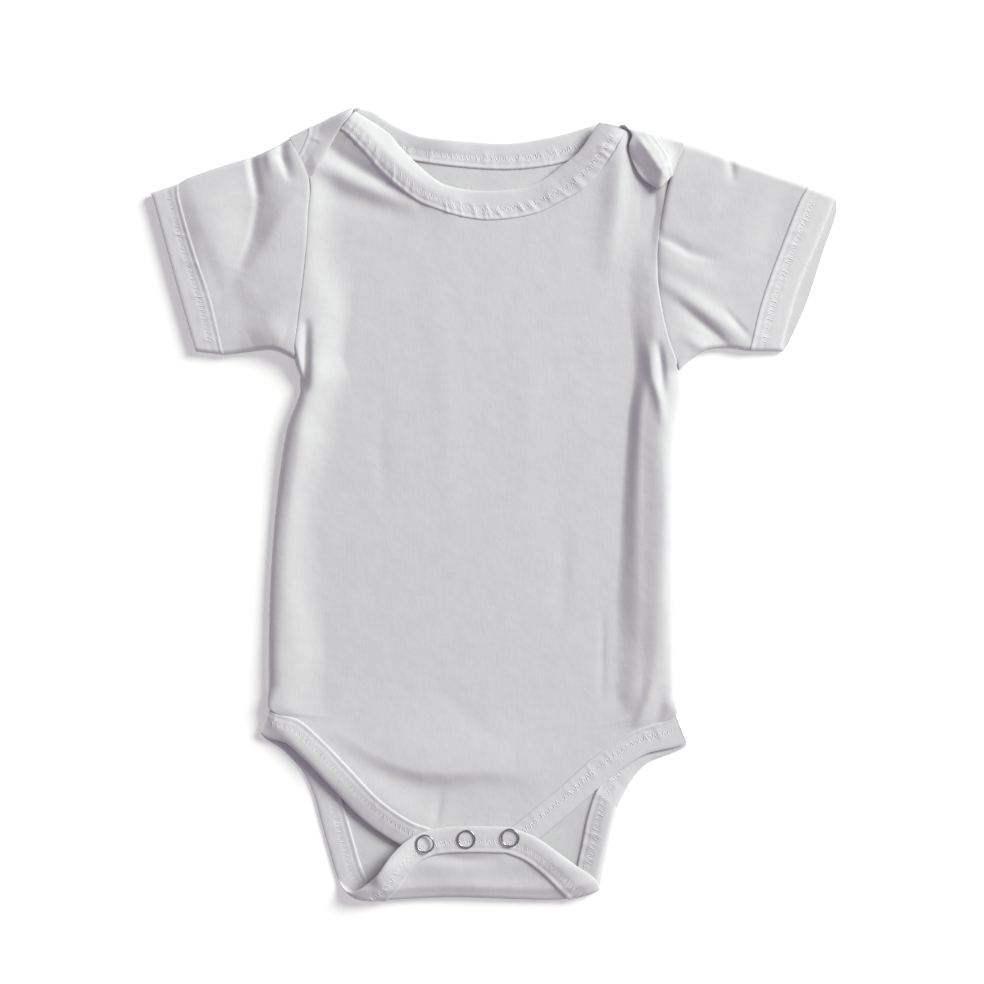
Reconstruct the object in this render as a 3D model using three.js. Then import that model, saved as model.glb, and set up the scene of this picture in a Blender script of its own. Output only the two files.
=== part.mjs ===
import * as THREE from "three";

// A baby's short-sleeved onesie with an envelope neck, laid flat on its back.
// Millimetres. X runs to the viewer's right, Y up to the neck, Z up off the surface.
// The back panel lies lowest. Its two shoulder laps fold forward over the front panel,
// and its crotch flap folds up over the front's crotch end, where three snaps close it.

// Cloth and seams
const clothWall = 1.0;
const bandWall = 1.7;
const seamGap = 0.3;
const foldSeamGap = 0.5;
const frontFloor = bandWall + seamGap;
const frontRest = 0.3;
const seamEdgeTop = frontFloor + 0.35;

// Bands
const legBandWidth = 13;
const legBandEnds = { left: [-5, -12.8], right: [5.5, -13.8] };
const bandEdgeRound = 0.25;

// Folded-over layers
const shoulderBend = 1.6;
const crotchBend = 2.0;
const lapFloor = frontFloor + bandWall + seamGap;
const rightLapRise = 1.6;
const flapFloorLow = 4.6;
const flapFloorHigh = 5.5;

// Side rolls: the soft tubes of cloth that stand along both side seams
const rollRise = 2.0;
const rollPeak = 10;
const rollEdge = 4;
const rollCrease = 25;

// Sleeves
const sleeveHeight = 4.8;
const cuffHeight = 5.3;
const tubeRoll = 2.1;

// Snaps
const snapRing = { outer: 4.75, wire: 0.45, height: 0.8, seat: 0.1 };
const snapSocket = { outer: 4.4, bore: 2.35, height: 1.15 };
const snapStud = { foot: 1.9, head: 2.0, height: 1.1 };
const snapSides = 20;
const snapPlaces = [[-35.2, -172.7], [-14.3, -170.6], [7.9, -169.8]];

// Mesh steps
const frontSteps = { across: 24, leg: 9, side: 11, shoulder: 10 };
const backSteps = { across: 18, flap: 4, fold: 5, leg: 9, side: 8, armhole: 8, lap: 5 };
const sleeveSteps = { across: 12, along: 7 };
const cuffSteps = { across: 12, along: 2 };

// The front panel's edges, a row for each height from the crotch end up to the shoulders.
const frontRows = [
  { left: [-31.4, -166.5], right: [7.9, -166] },
  { left: [-43.1, -161.9], right: [18.1, -157.8] },
  { left: [-58.4, -151.2], right: [33.4, -145.1] },
  { left: [-72.7, -136.4], right: [48.7, -131.3] },
  { left: [-86.4, -122.1], right: [58.9, -123.7] },
  { left: [-99.2, -110.9], right: [71.7, -116] },
  { left: [-114, -104.8], right: [92.1, -108.4] },
  { left: [-114.8, -92], right: [91, -96] },
  { left: [-114.5, -49.7], right: [91, -49.7] },
  { left: [-111.4, -3.8], right: [91.3, -3.8] },
  { left: [-105.8, 37], right: [92.1, 37] },
  { left: [-98.2, 59.9], right: [95.1, 58.4] },
  { left: [-101.7, 72.7], right: [94.1, 67.1] },
  { left: [-99.7, 93.1], right: [88, 85.4] },
  { left: [-96.6, 121.1], right: [83.4, 109.4] },
  { left: [-94.9, 146.6], right: [83.4, 131.3] },
  { left: [-94.1, 162.9], right: [88.5, 160.9] },
  { left: [-100.2, 178.8], right: [92.4, 177] },
];
const frontLegEnd = 6;
const frontArmpit = 12;

// The front panel's top edge, from the left shoulder round the neck to the right shoulder.
const frontTop = [
  [-100.2, 178.8], [-91, 183.3], [-81.5, 187.6], [-77.5, 188.6], [-66, 178], [-58, 169], [-48, 160],
  [-38, 153], [-28, 149], [-18, 146], [-5, 144], [10, 145], [23, 148], [33, 153], [44, 159],
  [54, 169], [59, 176], [66, 184.6], [79, 181], [92.4, 177],
];

// The back panel's leg and side edges as they lie, from the crotch fold up to the shoulders.
const backRows = [
  { left: [-63, -199.2], right: [40, -199.2] },
  { left: [-67.1, -188.4], right: [42.1, -186.4] },
  { left: [-71.7, -173.7], right: [45.1, -172.1] },
  { left: [-75.7, -159.4], right: [47.7, -159.4] },
  { left: [-79.8, -144.6], right: [52.3, -146.1] },
  { left: [-87, -129.8], right: [60.4, -132.3] },
  { left: [-99.2, -116.5], right: [71.1, -121.6] },
  { left: [-114, -104.8], right: [92.1, -110] },
  { left: [-114.8, -92], right: [91, -96] },
  { left: [-114.5, -49.7], right: [91, -49.7] },
  { left: [-111.4, -3.8], right: [91.3, -3.8] },
  { left: [-105.8, 37], right: [92.1, 37] },
  { left: [-98.2, 59.9], right: [95.1, 58.4] },
  { left: [-101.7, 72.7], right: [94.1, 67.1] },
  { left: [-99.7, 93.1], right: [88, 85.4] },
  { left: [-96.6, 121.1], right: [83.4, 109.4] },
  { left: [-94.9, 146.6], right: [83.4, 131.3] },
  { left: [-94.1, 162.9], right: [88.5, 160.9] },
  { left: [-102.6, 182], right: [95.9, 180.4] },
];
const backLegEnd = 7;
const backArmpit = 13;

// The crotch flap's edges as they lie folded up, from its closing end down to the fold.
const flapRows = [
  { left: [-29.3, -178.2], right: [6.4, -177.5] },
  { left: [-37.5, -183], right: [15.6, -181.3] },
  { left: [-42.6, -190], right: [25, -188.5] },
  { left: [-52.8, -197], right: [33.5, -197] },
];

// The back neckband, a row for each place along it: its seam and its free edge, as they lie.
// Over says that a point is on the front, past that shoulder's fold.
const backNeckRows = [
  { seam: { over: "left", at: [-99, 176] }, edge: { over: "left", at: [-93.9, 163] } },
  { seam: { over: "left", at: [-97.3, 180] }, edge: { over: "left", at: [-88.5, 171.5] } },
  { seam: { over: "left", at: [-95, 186] }, edge: { over: "left", at: [-83, 181.5] } },
  { seam: { at: [-90.5, 189.4] }, edge: { over: "left", at: [-77.5, 190.6] } },
  { seam: { at: [-84, 190.6] }, edge: { over: "left", at: [-72.8, 196.4] } },
  { seam: { at: [-77, 190] }, edge: { at: [-66.8, 200.4] } },
  { seam: { at: [-70, 188] }, edge: { at: [-61.5, 198.8] } },
  { seam: { at: [-61, 183] }, edge: { at: [-55.5, 194.8] } },
  { seam: { at: [-51, 177] }, edge: { at: [-47, 190] } },
  { seam: { at: [-39, 174] }, edge: { at: [-36, 186] } },
  { seam: { at: [-15, 171] }, edge: { at: [-14, 184] } },
  { seam: { at: [8, 170] }, edge: { at: [7, 183] } },
  { seam: { at: [28, 172] }, edge: { at: [26, 185.6] } },
  { seam: { at: [40, 175] }, edge: { at: [36.5, 188] } },
  { seam: { at: [51, 179] }, edge: { at: [47, 191.2] } },
  { seam: { at: [62, 183] }, edge: { at: [56.5, 193.4] } },
  { seam: { at: [70, 185] }, edge: { at: [64, 192.3] } },
  { seam: { at: [76, 185.6] }, edge: { over: "right", at: [70, 187.3] } },
  { seam: { over: "right", at: [81, 184] }, edge: { over: "right", at: [75, 180.5] } },
  { seam: { over: "right", at: [84.7, 178] }, edge: { over: "right", at: [80, 174] } },
  { seam: { over: "right", at: [88.9, 168.5] }, edge: { over: "right", at: [88, 162.6] } },
];

// The front neckband's free edge. Its seam is the front panel's own edge between these ends.
const frontNeckEnds = { left: -78, right: 67 };
const frontNeckEdge = [
  [-66.5, 197.6], [-53, 187], [-48, 181], [-38, 171], [-28, 163], [-20, 160.3], [-12, 159],
  [-3, 158.6], [8, 159.2], [17, 160.6], [26, 165], [34, 171], [42, 177], [51.5, 191.6],
];

// Plan outlines of the sleeves and cuffs. Each runs from under the arm to the shoulder.
const leftSleeve = {
  armhole: [[-102.3, 72.4], [-100.2, 93.1], [-97.1, 121.1], [-95.4, 146.6], [-94.9, 162.9],
    [-100.2, 176.2], [-105.2, 185]],
  seam: [[-137.8, 75], [-144.4, 103.3], [-153, 128.8], [-160.2, 154.3], [-160.7, 162.3]],
  under: [[-102.3, 72.4], [-109.4, 76.4], [-114.5, 77.5], [-127.2, 76.2], [-137.8, 75]],
  over: [[-105.2, 185], [-118.6, 177.7], [-137.4, 171.6], [-155.3, 165.3], [-160.7, 162.3]],
  frontEdge: [[-151.7, 76.6], [-159.4, 103.3], [-166.5, 128.8], [-173.4, 154.3], [-175, 157.6]],
  backEdge: [[-151.7, 76.6], [-159.4, 103.3], [-166.5, 128.8], [-173.4, 154.3], [-175, 157.6]],
};
const rightSleeve = {
  armhole: [[94.7, 66.8], [88.5, 85.4], [83.9, 109.4], [83.9, 131.3], [89.1, 160.9], [97.2, 182.6]],
  seam: [[129.6, 76.9], [136.2, 103.3], [147.4, 133.9], [155.6, 154.3], [159.7, 160.9]],
  under: [[94.7, 66.8], [99.7, 72.6], [107.9, 77.4], [118.6, 78.4], [129.6, 76.9]],
  over: [[97.2, 182.6], [105.8, 180.3], [120.1, 174.8], [140.5, 167.6], [159.7, 160.9]],
  frontEdge: [[145.6, 77], [154.3, 108.4], [163.5, 130.3], [170.1, 146.6], [173.4, 155.5]],
  backEdge: [[147.6, 76.6], [158.4, 100.7], [167, 127], [173.8, 147], [174, 156.2]],
};

// The largest folds. A path is their crest or bottom, rise is up where positive, and reach is
// how far they spread to the left and right of that path.
const bodyFolds = [
  { path: [[-90, 179], [-76, 172], [-61, 164], [-46, 156]], rise: 1.1, reach: [6, 5] },
  { path: [[-89, 167], [-76, 159], [-61, 153], [-46, 148]], rise: -0.3, reach: [5, 6] },
  { path: [[67, 184], [66, 168], [64, 150], [63, 130]], rise: 0.9, reach: [6, 5] },
  { path: [[-93, 93], [-94, 76], [-93, 55]], rise: -1.2, reach: [2.5, 3] },
  { path: [[-100, 52], [-88, 66], [-81, 84]], rise: 0.5, reach: [6, 6] },
  { path: [[81, 90], [82, 70], [82, 50]], rise: 0.9, reach: [3, 4] },
  { path: [[80, -94], [76, -105], [73, -113]], rise: 0.7, reach: [3, 3] },
  { path: [[-72, -124], [-58, -134], [-30, -140], [3, -142]], rise: -0.3, reach: [6, 6] },
  { path: [[-62, -137], [-50, -146], [-33, -153]], rise: 0.9, reach: [6, 7] },
];
const leftSleeveFolds = [
  { path: [[-124, 178], [-123, 169], [-121, 160]], rise: -1.2, reach: [3, 3] },
  { path: [[-107, 186], [-107, 176], [-105, 167]], rise: -1.2, reach: [3, 3] },
  { path: [[-98, 163], [-112, 151], [-122, 133], [-130, 112]], rise: -1.1, reach: [7, 8] },
  { path: [[-125, 88], [-114, 84], [-104, 80]], rise: 0.8, reach: [7, 6] },
];
const rightSleeveFolds = [
  { path: [[84, 135], [98, 132], [112, 126]], rise: -0.9, reach: [4, 3] },
  { path: [[88, 112], [105, 101], [120, 91], [129, 83]], rise: 1.0, reach: [5, 4] },
  { path: [[93, 104], [107, 93], [124, 79]], rise: -0.8, reach: [3, 4] },
  { path: [[119, 177], [121, 165]], rise: -1.0, reach: [3, 3] },
];

const jersey = { color: 0xd9d9dd, roughness: 0.95, metalness: 0 };
const ribbed = { color: 0xdededf, roughness: 0.95, metalness: 0 };
const chrome = { color: 0xb8bac0, roughness: 0.25, metalness: 1 };

// Small helpers
const clamp = (value, low, high) => Math.min(Math.max(value, low), high);
const mix = (a, b, share) => a + (b - a) * share;
const mixPoint = (a, b, share) => a.map((value, k) => mix(value, b[k], share));
const smoothStep = (low, high, value) => {
  const share = clamp((value - low) / (high - low), 0, 1);
  return share * share * (3 - 2 * share);
};

function lengthStops(points) {
  const stops = [0];
  for (let i = 1; i < points.length; i++) {
    const step = Math.hypot(points[i][0] - points[i - 1][0], points[i][1] - points[i - 1][1]);
    stops.push(stops[i - 1] + step);
  }
  return stops.map((stop) => stop / stops[stops.length - 1]);
}

// A smooth curve through the points; share 0 is its start and 1 its end.
function smoothPath(points, stops = lengthStops(points)) {
  const last = points.length - 1;
  const slopes = points.map((_, i) => {
    const before = Math.max(i - 1, 0);
    const after = Math.min(i + 1, last);
    const run = stops[after] - stops[before];
    return points[i].map((_value, k) => (points[after][k] - points[before][k]) / run);
  });
  return (share) => {
    let i = 1;
    while (i < last && stops[i] < share) i++;
    const run = stops[i] - stops[i - 1];
    const f = clamp((share - stops[i - 1]) / run, 0, 1);
    const rise = f * f * (3 - 2 * f);
    const leave = f * (1 - f) * (1 - f) * run;
    const arrive = f * f * (f - 1) * run;
    return points[i].map((_value, k) =>
      mix(points[i - 1][k], points[i][k], rise) + slopes[i - 1][k] * leave + slopes[i][k] * arrive);
  };
}

// Turns rows of left and right points, and a top edge, into a sheet of plan points.
function panelSheet(rows, topPoints, topStops) {
  const leftStops = lengthStops(rows.map((row) => row.left));
  const rightStops = lengthStops(rows.map((row) => row.right));
  const stops = leftStops.map((stop, i) => (stop + rightStops[i]) / 2);
  const left = smoothPath(rows.map((row) => row.left), stops);
  const right = smoothPath(rows.map((row) => row.right), stops);
  const top = smoothPath(topPoints, topStops);
  const topLeft = rows[rows.length - 1].left;
  const topRight = rows[rows.length - 1].right;
  const point = (u, v) => {
    const row = mixPoint(left(v), right(v), u);
    const straightTop = mixPoint(topLeft, topRight, u);
    const share = v * v * v;
    return row.map((value, k) => value + share * (top(u)[k] - straightTop[k]));
  };
  return { point, left, right, stops };
}

// A soft bell on each side of a path, fading out towards the path's ends.
function foldHeight(folds, x, y) {
  let height = 0;
  for (const fold of folds) {
    let nearest = { distance: Infinity, side: 0, share: 0 };
    const spans = fold.path.length - 1;
    for (let i = 0; i < spans; i++) {
      const [ax, ay] = fold.path[i];
      const [bx, by] = fold.path[i + 1];
      const dx = bx - ax;
      const dy = by - ay;
      const along = clamp(((x - ax) * dx + (y - ay) * dy) / (dx * dx + dy * dy), 0, 1);
      const offX = x - ax - along * dx;
      const offY = y - ay - along * dy;
      const distance = Math.hypot(offX, offY);
      if (distance < nearest.distance) {
        nearest = { distance, side: dx * offY - dy * offX, share: (i + along) / spans };
      }
    }
    const reach = nearest.side > 0 ? fold.reach[0] : fold.reach[1];
    const fade = 0.35 + 0.65 * Math.sin(Math.PI * nearest.share);
    height += fold.rise * fade * Math.exp(-((nearest.distance / reach) ** 2));
  }
  return height;
}

// Places in the two shoulder folds and the crotch fold. Past a fold's line the cloth turns
// round a bend and lies back over itself.
function straightFold(from, to, bend, side) {
  const run = Math.hypot(to[0] - from[0], to[1] - from[1]);
  const outward = [-(to[1] - from[1]) / run, (to[0] - from[0]) / run];
  return {
    bend,
    outward,
    beyond: (x, y) => (side * x > 60
      ? (x - from[0]) * outward[0] + (y - from[1]) * outward[1]
      : -1),
  };
}
const leftFold = straightFold([-103.6, 183.9], [-67.9, 200.2], shoulderBend, -1);
const rightFold = straightFold([68.2, 189], [96.2, 181.8], shoulderBend, 1);
const crotchLine = smoothPath([
  [-90, -194], [-76, -199], [-64, -199.9], [-22, -198.4], [22, -199.7], [37, -199.2], [54, -195],
  [70, -192],
]);
function crotchFoldY(x) {
  return crotchLine(clamp((x + 90) / 160, 0, 1))[1];
}
const crotchFold = {
  bend: crotchBend,
  outward: [0, -1],
  beyond: (x, y) => crotchFoldY(x) - y,
};

function lapBottom(x, y) {
  const raised = x > 0 ? rightLapRise * smoothStep(-22, -6, rightFold.beyond(x, y)) : 0;
  return lapFloor + raised * smoothStep(0, 8, -rightFold.beyond(x, y));
}
function flapBottom(_x, y) {
  return mix(flapFloorLow, flapFloorHigh, smoothStep(-192, -182, y));
}

// The flat place of a point that is given as it lies on the folded-over side.
function unfold(fold, [x, y]) {
  const inside = -fold.beyond(x, y);
  const reach = 2 * inside + Math.PI * fold.bend;
  return [x + fold.outward[0] * reach, y + fold.outward[1] * reach];
}

// Lays a flat point of a sheet. Rise runs from minus half the wall, outside, to plus half.
function layPoint(fold, bottomAt, [x, y], rise, wall) {
  const beyond = fold.beyond(x, y);
  const low = wall / 2;
  if (beyond <= 0) return [x, y, low + rise];
  const lineX = x - fold.outward[0] * beyond;
  const lineY = y - fold.outward[1] * beyond;
  const turn = Math.min(beyond / fold.bend, Math.PI);
  const back = Math.max(beyond - Math.PI * fold.bend, 0);
  const out = (fold.bend - rise) * Math.sin(turn) - back;
  const place = [lineX + fold.outward[0] * out, lineY + fold.outward[1] * out];
  const high = bottomAt(place[0], place[1]) + wall / 2;
  const middle = (low + high) / 2;
  return [...place, middle - (middle - low - rise) * Math.cos(turn)];
}
function layBack(point, rise, wall) {
  const [x, y] = point;
  if (y < -150) return layPoint(crotchFold, flapBottom, point, rise, wall);
  return layPoint(x < 0 ? leftFold : rightFold, lapBottom, point, rise, wall);
}

// A closed solid from an outer and an inner grid of points. Columns may run round a tube.
function solidFromGrids(outer, inner, round = false) {
  const rows = outer.length;
  const columns = outer[0].length;
  const positions = [...outer.flat(), ...inner.flat()].flat();
  const index = [];
  const at = (layer, row, column) => layer * rows * columns + row * columns + (column % columns);
  const quad = (a, b, c, d) => index.push(a, b, c, a, c, d);
  const lastColumn = round ? columns : columns - 1;
  for (let row = 0; row < rows - 1; row++) {
    for (let column = 0; column < lastColumn; column++) {
      quad(at(0, row, column), at(0, row, column + 1), at(0, row + 1, column + 1), at(0, row + 1, column));
      quad(at(1, row, column), at(1, row + 1, column), at(1, row + 1, column + 1), at(1, row, column + 1));
    }
    if (!round) {
      quad(at(0, row, 0), at(0, row + 1, 0), at(1, row + 1, 0), at(1, row, 0));
      quad(at(0, row + 1, columns - 1), at(0, row, columns - 1), at(1, row, columns - 1),
        at(1, row + 1, columns - 1));
    }
  }
  for (let column = 0; column < lastColumn; column++) {
    quad(at(0, 0, column + 1), at(0, 0, column), at(1, 0, column), at(1, 0, column + 1));
    quad(at(0, rows - 1, column), at(0, rows - 1, column + 1), at(1, rows - 1, column + 1),
      at(1, rows - 1, column));
  }
  return outwardGeometry(positions, index);
}

// Turns the faces so that they point out, by the sign of the volume they close.
function outwardGeometry(positions, index) {
  const corner = (i) => new THREE.Vector3().fromArray(positions, index[i] * 3);
  let volume = 0;
  for (let i = 0; i < index.length; i += 3) {
    volume += corner(i).dot(corner(i + 1).cross(corner(i + 2)));
  }
  if (volume < 0) {
    for (let i = 0; i < index.length; i += 3) {
      [index[i + 1], index[i + 2]] = [index[i + 2], index[i + 1]];
    }
  }
  const geometry = new THREE.BufferGeometry();
  geometry.setAttribute("position", new THREE.Float32BufferAttribute(positions, 3));
  geometry.setIndex(index);
  return geometry;
}

// The inner grid of a wall: each outer point moved in along the surface's own direction.
function innerGrid(outer, wall, floor, upward, round = false) {
  const rows = outer.length;
  const columns = outer[0].length;
  const vector = (row, column) => new THREE.Vector3(...outer[row][column]);
  return outer.map((line, row) => line.map((point, column) => {
    const before = round ? (column + columns - 1) % columns : Math.max(column - 1, 0);
    const after = round ? (column + 1) % columns : Math.min(column + 1, columns - 1);
    const across = vector(row, after).sub(vector(row, before));
    const along = vector(Math.min(row + 1, rows - 1), column).sub(vector(Math.max(row - 1, 0), column));
    const normal = across.cross(along).normalize().multiplyScalar(upward * wall);
    return [point[0] - normal.x, point[1] - normal.y, Math.max(point[2] - normal.z, floor)];
  }));
}

// Shares from 0 to 1 that stand closer together at both ends.
function crowdedShares(count) {
  const crowding = 0.65;
  return Array.from({ length: count + 1 }, (_, i) => {
    const t = i / count;
    return t - (crowding * Math.sin(2 * Math.PI * t)) / (2 * Math.PI);
  });
}

// Shares from 0 to 1 with a count of even steps between each two stops.
function steppedShares(stops, counts) {
  const shares = [0];
  counts.forEach((count, i) => {
    for (let k = 1; k <= count; k++) shares.push(mix(stops[i], stops[i + 1], k / count));
  });
  return shares;
}

// How high a side roll stands at a distance from the side seam.
function rollHeight(fromEdge, crease) {
  if (fromEdge < rollPeak) return Math.sqrt(1 - (1 - fromEdge / rollPeak) ** 2);
  return 0.5 + 0.5 * Math.cos(Math.PI * clamp((fromEdge - rollPeak) / (crease - rollPeak), 0, 1));
}

function frontSheet() {
  const sheet = panelSheet(frontRows, frontTop);
  const stops = [0, sheet.stops[frontLegEnd], sheet.stops[frontArmpit], 1];
  const shares = steppedShares(stops, [frontSteps.leg, frontSteps.side, frontSteps.shoulder]);
  return { ...sheet, shares, columns: crowdedShares(frontSteps.across), legRows: frontSteps.leg };
}

function frontPanel() {
  const sheet = frontSheet();
  const legEnd = sheet.stops[frontLegEnd];
  const armpit = sheet.stops[frontArmpit];
  const outer = sheet.shares.map((v) => {
    const leftX = sheet.left(v)[0];
    const rightX = sheet.right(v)[0];
    const onSide = smoothStep(legEnd, legEnd + 0.03, v) * (1 - smoothStep(armpit - 0.01, armpit + 0.02, v));
    const rolled = smoothStep(legEnd - 0.02, legEnd + 0.1, v) * (1 - smoothStep(armpit, armpit + 0.12, v));
    return sheet.columns.map((u) => {
      const [x, y] = sheet.point(u, v);
      const fromEdge = Math.max(Math.min(x - leftX, rightX - x), 0);
      const roll = rollRise * rolled * rollHeight(fromEdge, rollCrease);
      const full = frontFloor + clothWall + frontRest + roll + foldHeight(bodyFolds, x, y);
      const edgeShare = Math.sqrt(1 - (1 - clamp(fromEdge / rollEdge, 0, 1)) ** 2);
      const top = Math.max(full, frontFloor + clothWall);
      return [x, y, mix(top, mix(seamEdgeTop, top, edgeShare), onSide)];
    });
  });
  return solidFromGrids(outer, innerGrid(outer, clothWall, frontFloor, 1));
}

// The back neckband's rows with every point at its flat place.
function flatNeckRows() {
  const folds = { left: leftFold, right: rightFold };
  const flat = ({ over, at }) => (over ? unfold(folds[over], at) : at);
  const seam = backNeckRows.map((row) => flat(row.seam));
  const edge = backNeckRows.map((row) => flat(row.edge));
  const edgeStops = lengthStops(edge);
  const stops = lengthStops(seam).map((stop, i) => (stop + edgeStops[i]) / 2);
  return { seam, edge, stops };
}

function backSheet() {
  const flap = flapRows.map((row) => ({
    left: unfold(crotchFold, row.left),
    right: unfold(crotchFold, row.right),
  }));
  const neck = flatNeckRows();
  const laps = [{ left: neck.seam[0], right: neck.seam[neck.seam.length - 1] }];
  const sheet = panelSheet([...flap, ...backRows, ...laps], neck.seam, neck.stops);
  const rowsBefore = flap.length;
  const stopRows = [0, rowsBefore - 1, rowsBefore, rowsBefore + backLegEnd, rowsBefore + backArmpit,
    rowsBefore + backRows.length - 1, rowsBefore + backRows.length];
  const { across, flap: flapSteps, fold, leg, side, armhole, lap } = backSteps;
  const stops = stopRows.map((row) => sheet.stops[row]);
  const shares = steppedShares(stops, [flapSteps, fold, leg, side, armhole, lap]);
  return { ...sheet, shares, columns: crowdedShares(across), legRows: flapSteps + fold + leg };
}

function backPanel() {
  const sheet = backSheet();
  const layer = (rise) => sheet.shares.map((v) =>
    sheet.columns.map((u) => layBack(sheet.point(u, v), rise, clothWall)));
  return solidFromGrids(layer(-clothWall / 2), layer(clothWall / 2));
}

// A band between the points of a seam and the points of a free edge beside them. Lay puts each
// flat point of the band's section in its place.
function bandSolid(seam, edge, wall, lay, gap = seamGap) {
  const half = wall / 2;
  const shoulder = 0.94;
  const section = [[0, -half], [shoulder, -half], [1, -half + bandEdgeRound], [1, half - bandEdgeRound],
    [shoulder, half], [0, half]];
  return ringSolid(seam.map((from, i) => {
    const to = edge[i];
    const start = gap / Math.hypot(to[0] - from[0], to[1] - from[1]);
    return section.map(([across, rise]) => lay(mixPoint(from, to, mix(start, 1, across)), rise, wall));
  }));
}

// Closes a row of rings with flat ends.
function ringSolid(rings) {
  const size = rings[0].length;
  const positions = rings.flat().flat();
  const index = [];
  for (let i = 0; i < rings.length - 1; i++) {
    for (let k = 0; k < size; k++) {
      const next = (k + 1) % size;
      const here = i * size;
      const there = here + size;
      index.push(here + k, there + k, there + next, here + k, there + next, here + next);
    }
  }
  const last = (rings.length - 1) * size;
  for (let k = 1; k < size - 1; k++) {
    index.push(0, k, k + 1, last, last + k + 1, last + k);
  }
  return outwardGeometry(positions, index);
}

// The curve that runs beside a path on its right-hand side.
function besidePath(points, width) {
  return points.map((point, i) => {
    const before = points[Math.max(i - 1, 0)];
    const after = points[Math.min(i + 1, points.length - 1)];
    const step = [after[0] - before[0], after[1] - before[1]];
    const reach = width / Math.hypot(...step);
    return [point[0] + reach * step[1], point[1] - reach * step[0]];
  });
}

// A seam's corner points with more points set straight between them.
function splitSpans(points, pieces) {
  return points.flatMap((point, i) => {
    if (i === points.length - 1) return [point];
    return Array.from({ length: pieces }, (_, k) => mixPoint(point, points[i + 1], k / pieces));
  });
}

// The seam round a panel's lower end: down its left leg edge, across, and up its right one.
function lowerSeam(sheet) {
  const rows = sheet.shares.slice(0, sheet.legRows + 1);
  const across = sheet.columns.filter((_, i) => i % 3 === 0 && i > 0 && i < sheet.columns.length - 1);
  return [
    ...rows.map((v) => sheet.point(0, v)).reverse(),
    ...across.map((u) => sheet.point(u, 0)),
    ...rows.map((v) => sheet.point(1, v)),
  ];
}

// The free edge that goes with a panel's seam, found by each seam point's share of its length.
function matchedEdge(seam, edge) {
  const edgePath = smoothPath(edge);
  return lengthStops(seam).map((share) => edgePath(share));
}

const layOnFront = ([x, y], rise, wall) => [x, y, frontFloor + wall / 2 + rise];

// The free edge of a leg binding, whose two ends are cut in line with the side seams.
function legBandEdge(seam) {
  const edge = besidePath(seam, legBandWidth);
  const last = seam.length - 1;
  edge[0] = seam[0].map((value, k) => value + legBandEnds.left[k]);
  edge[last] = seam[last].map((value, k) => value + legBandEnds.right[k]);
  return edge;
}

function legBindingFront() {
  const seam = lowerSeam(frontSheet());
  return bandSolid(seam, legBandEdge(seam), bandWall, layOnFront);
}

function legBindingBack() {
  const seam = lowerSeam(backSheet());
  return bandSolid(seam, legBandEdge(seam), bandWall, layBack);
}

function neckbandFront() {
  const sheet = frontSheet();
  const neck = frontNeckEnds;
  const top = sheet.columns.map((u) => sheet.point(u, 1));
  const seam = splitSpans(top.filter(([x]) => x > neck.left && x < neck.right), 2);
  return bandSolid(seam, matchedEdge(seam, frontNeckEdge), bandWall, layOnFront);
}

function neckbandBack() {
  const sheet = backSheet();
  const neck = flatNeckRows();
  const edgePath = smoothPath(neck.edge, neck.stops);
  const shares = splitSpans(sheet.columns.map((u) => [u]), 3).map(([u]) => u);
  const seam = splitSpans(sheet.columns.map((u) => sheet.point(u, 1)), 3);
  return bandSolid(seam, shares.map((u) => edgePath(u)), bandWall, layBack, foldSeamGap);
}

// Places across a flattened tube: close together on the two rolled edges, even between.
function tubeShares(width, count) {
  const edge = [0, 0.15 * tubeRoll, 0.5 * tubeRoll, tubeRoll].map((reach) => reach / width);
  const inside = Array.from({ length: count - 1 }, (_, i) => mix(edge[3], 1 - edge[3], (i + 1) / count));
  return [...edge, ...inside, ...edge.map((share) => 1 - share).reverse()];
}

// A flattened tube of cloth. Place gives the plan point for a share along, a share across and
// a layer; heightAt gives the height of its upper face.
function flatTube(place, heightAt, wall, steps) {
  const width = 90;
  const shares = tubeShares(width, steps.across);
  const round = [
    ...shares.map((across) => ({ across, layer: "front" })),
    ...shares.slice(1, -1).reverse().map((across) => ({ across, layer: "back" })),
  ];
  const outer = Array.from({ length: steps.along + 1 }, (_, i) => {
    const along = i / steps.along;
    return round.map(({ across, layer }) => {
      const [x, y] = place(along, across, layer);
      const height = heightAt(x, y);
      const fromEdge = Math.min(across, 1 - across) * width;
      const share = Math.sqrt(1 - (1 - clamp(fromEdge / tubeRoll, 0, 1)) ** 2);
      const middle = height / 2;
      return [x, y, layer === "front" ? mix(middle, height, share) : mix(middle, 0, share)];
    });
  });
  return { outer, round };
}

// The wall of a flattened tube, with its thickness taken inwards across and in height.
function tubeSolid(place, heightAt, wall, steps) {
  const width = 90;
  const { outer, round } = flatTube(place, heightAt, wall, steps);
  const inner = outer.map((ring, i) => ring.map((point, k) => {
    const { across, layer } = round[k];
    const inset = wall / width;
    const [x, y] = place(i / steps.along, mix(inset, 1 - inset, across), layer);
    const height = heightAt(x, y);
    const middle = height / 2;
    const share = (point[2] - middle) / (layer === "front" ? height - middle : middle);
    return [x, y, middle + share * (middle - wall)];
  }));
  return solidFromGrids(outer, inner, true);
}

function patchPlace(start, end, under, over) {
  const startPath = smoothPath(start);
  const endPath = smoothPath(end);
  const underPath = smoothPath(under);
  const overPath = smoothPath(over);
  return (along, across) => {
    const sides = mixPoint(underPath(along), overPath(along), across);
    const ends = mixPoint(startPath(across), endPath(across), along);
    const low = mixPoint(start[0], end[0], along);
    const high = mixPoint(start[start.length - 1], end[end.length - 1], along);
    const corners = mixPoint(low, high, across);
    return sides.map((value, k) => value + ends[k] - corners[k]);
  };
}

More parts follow.
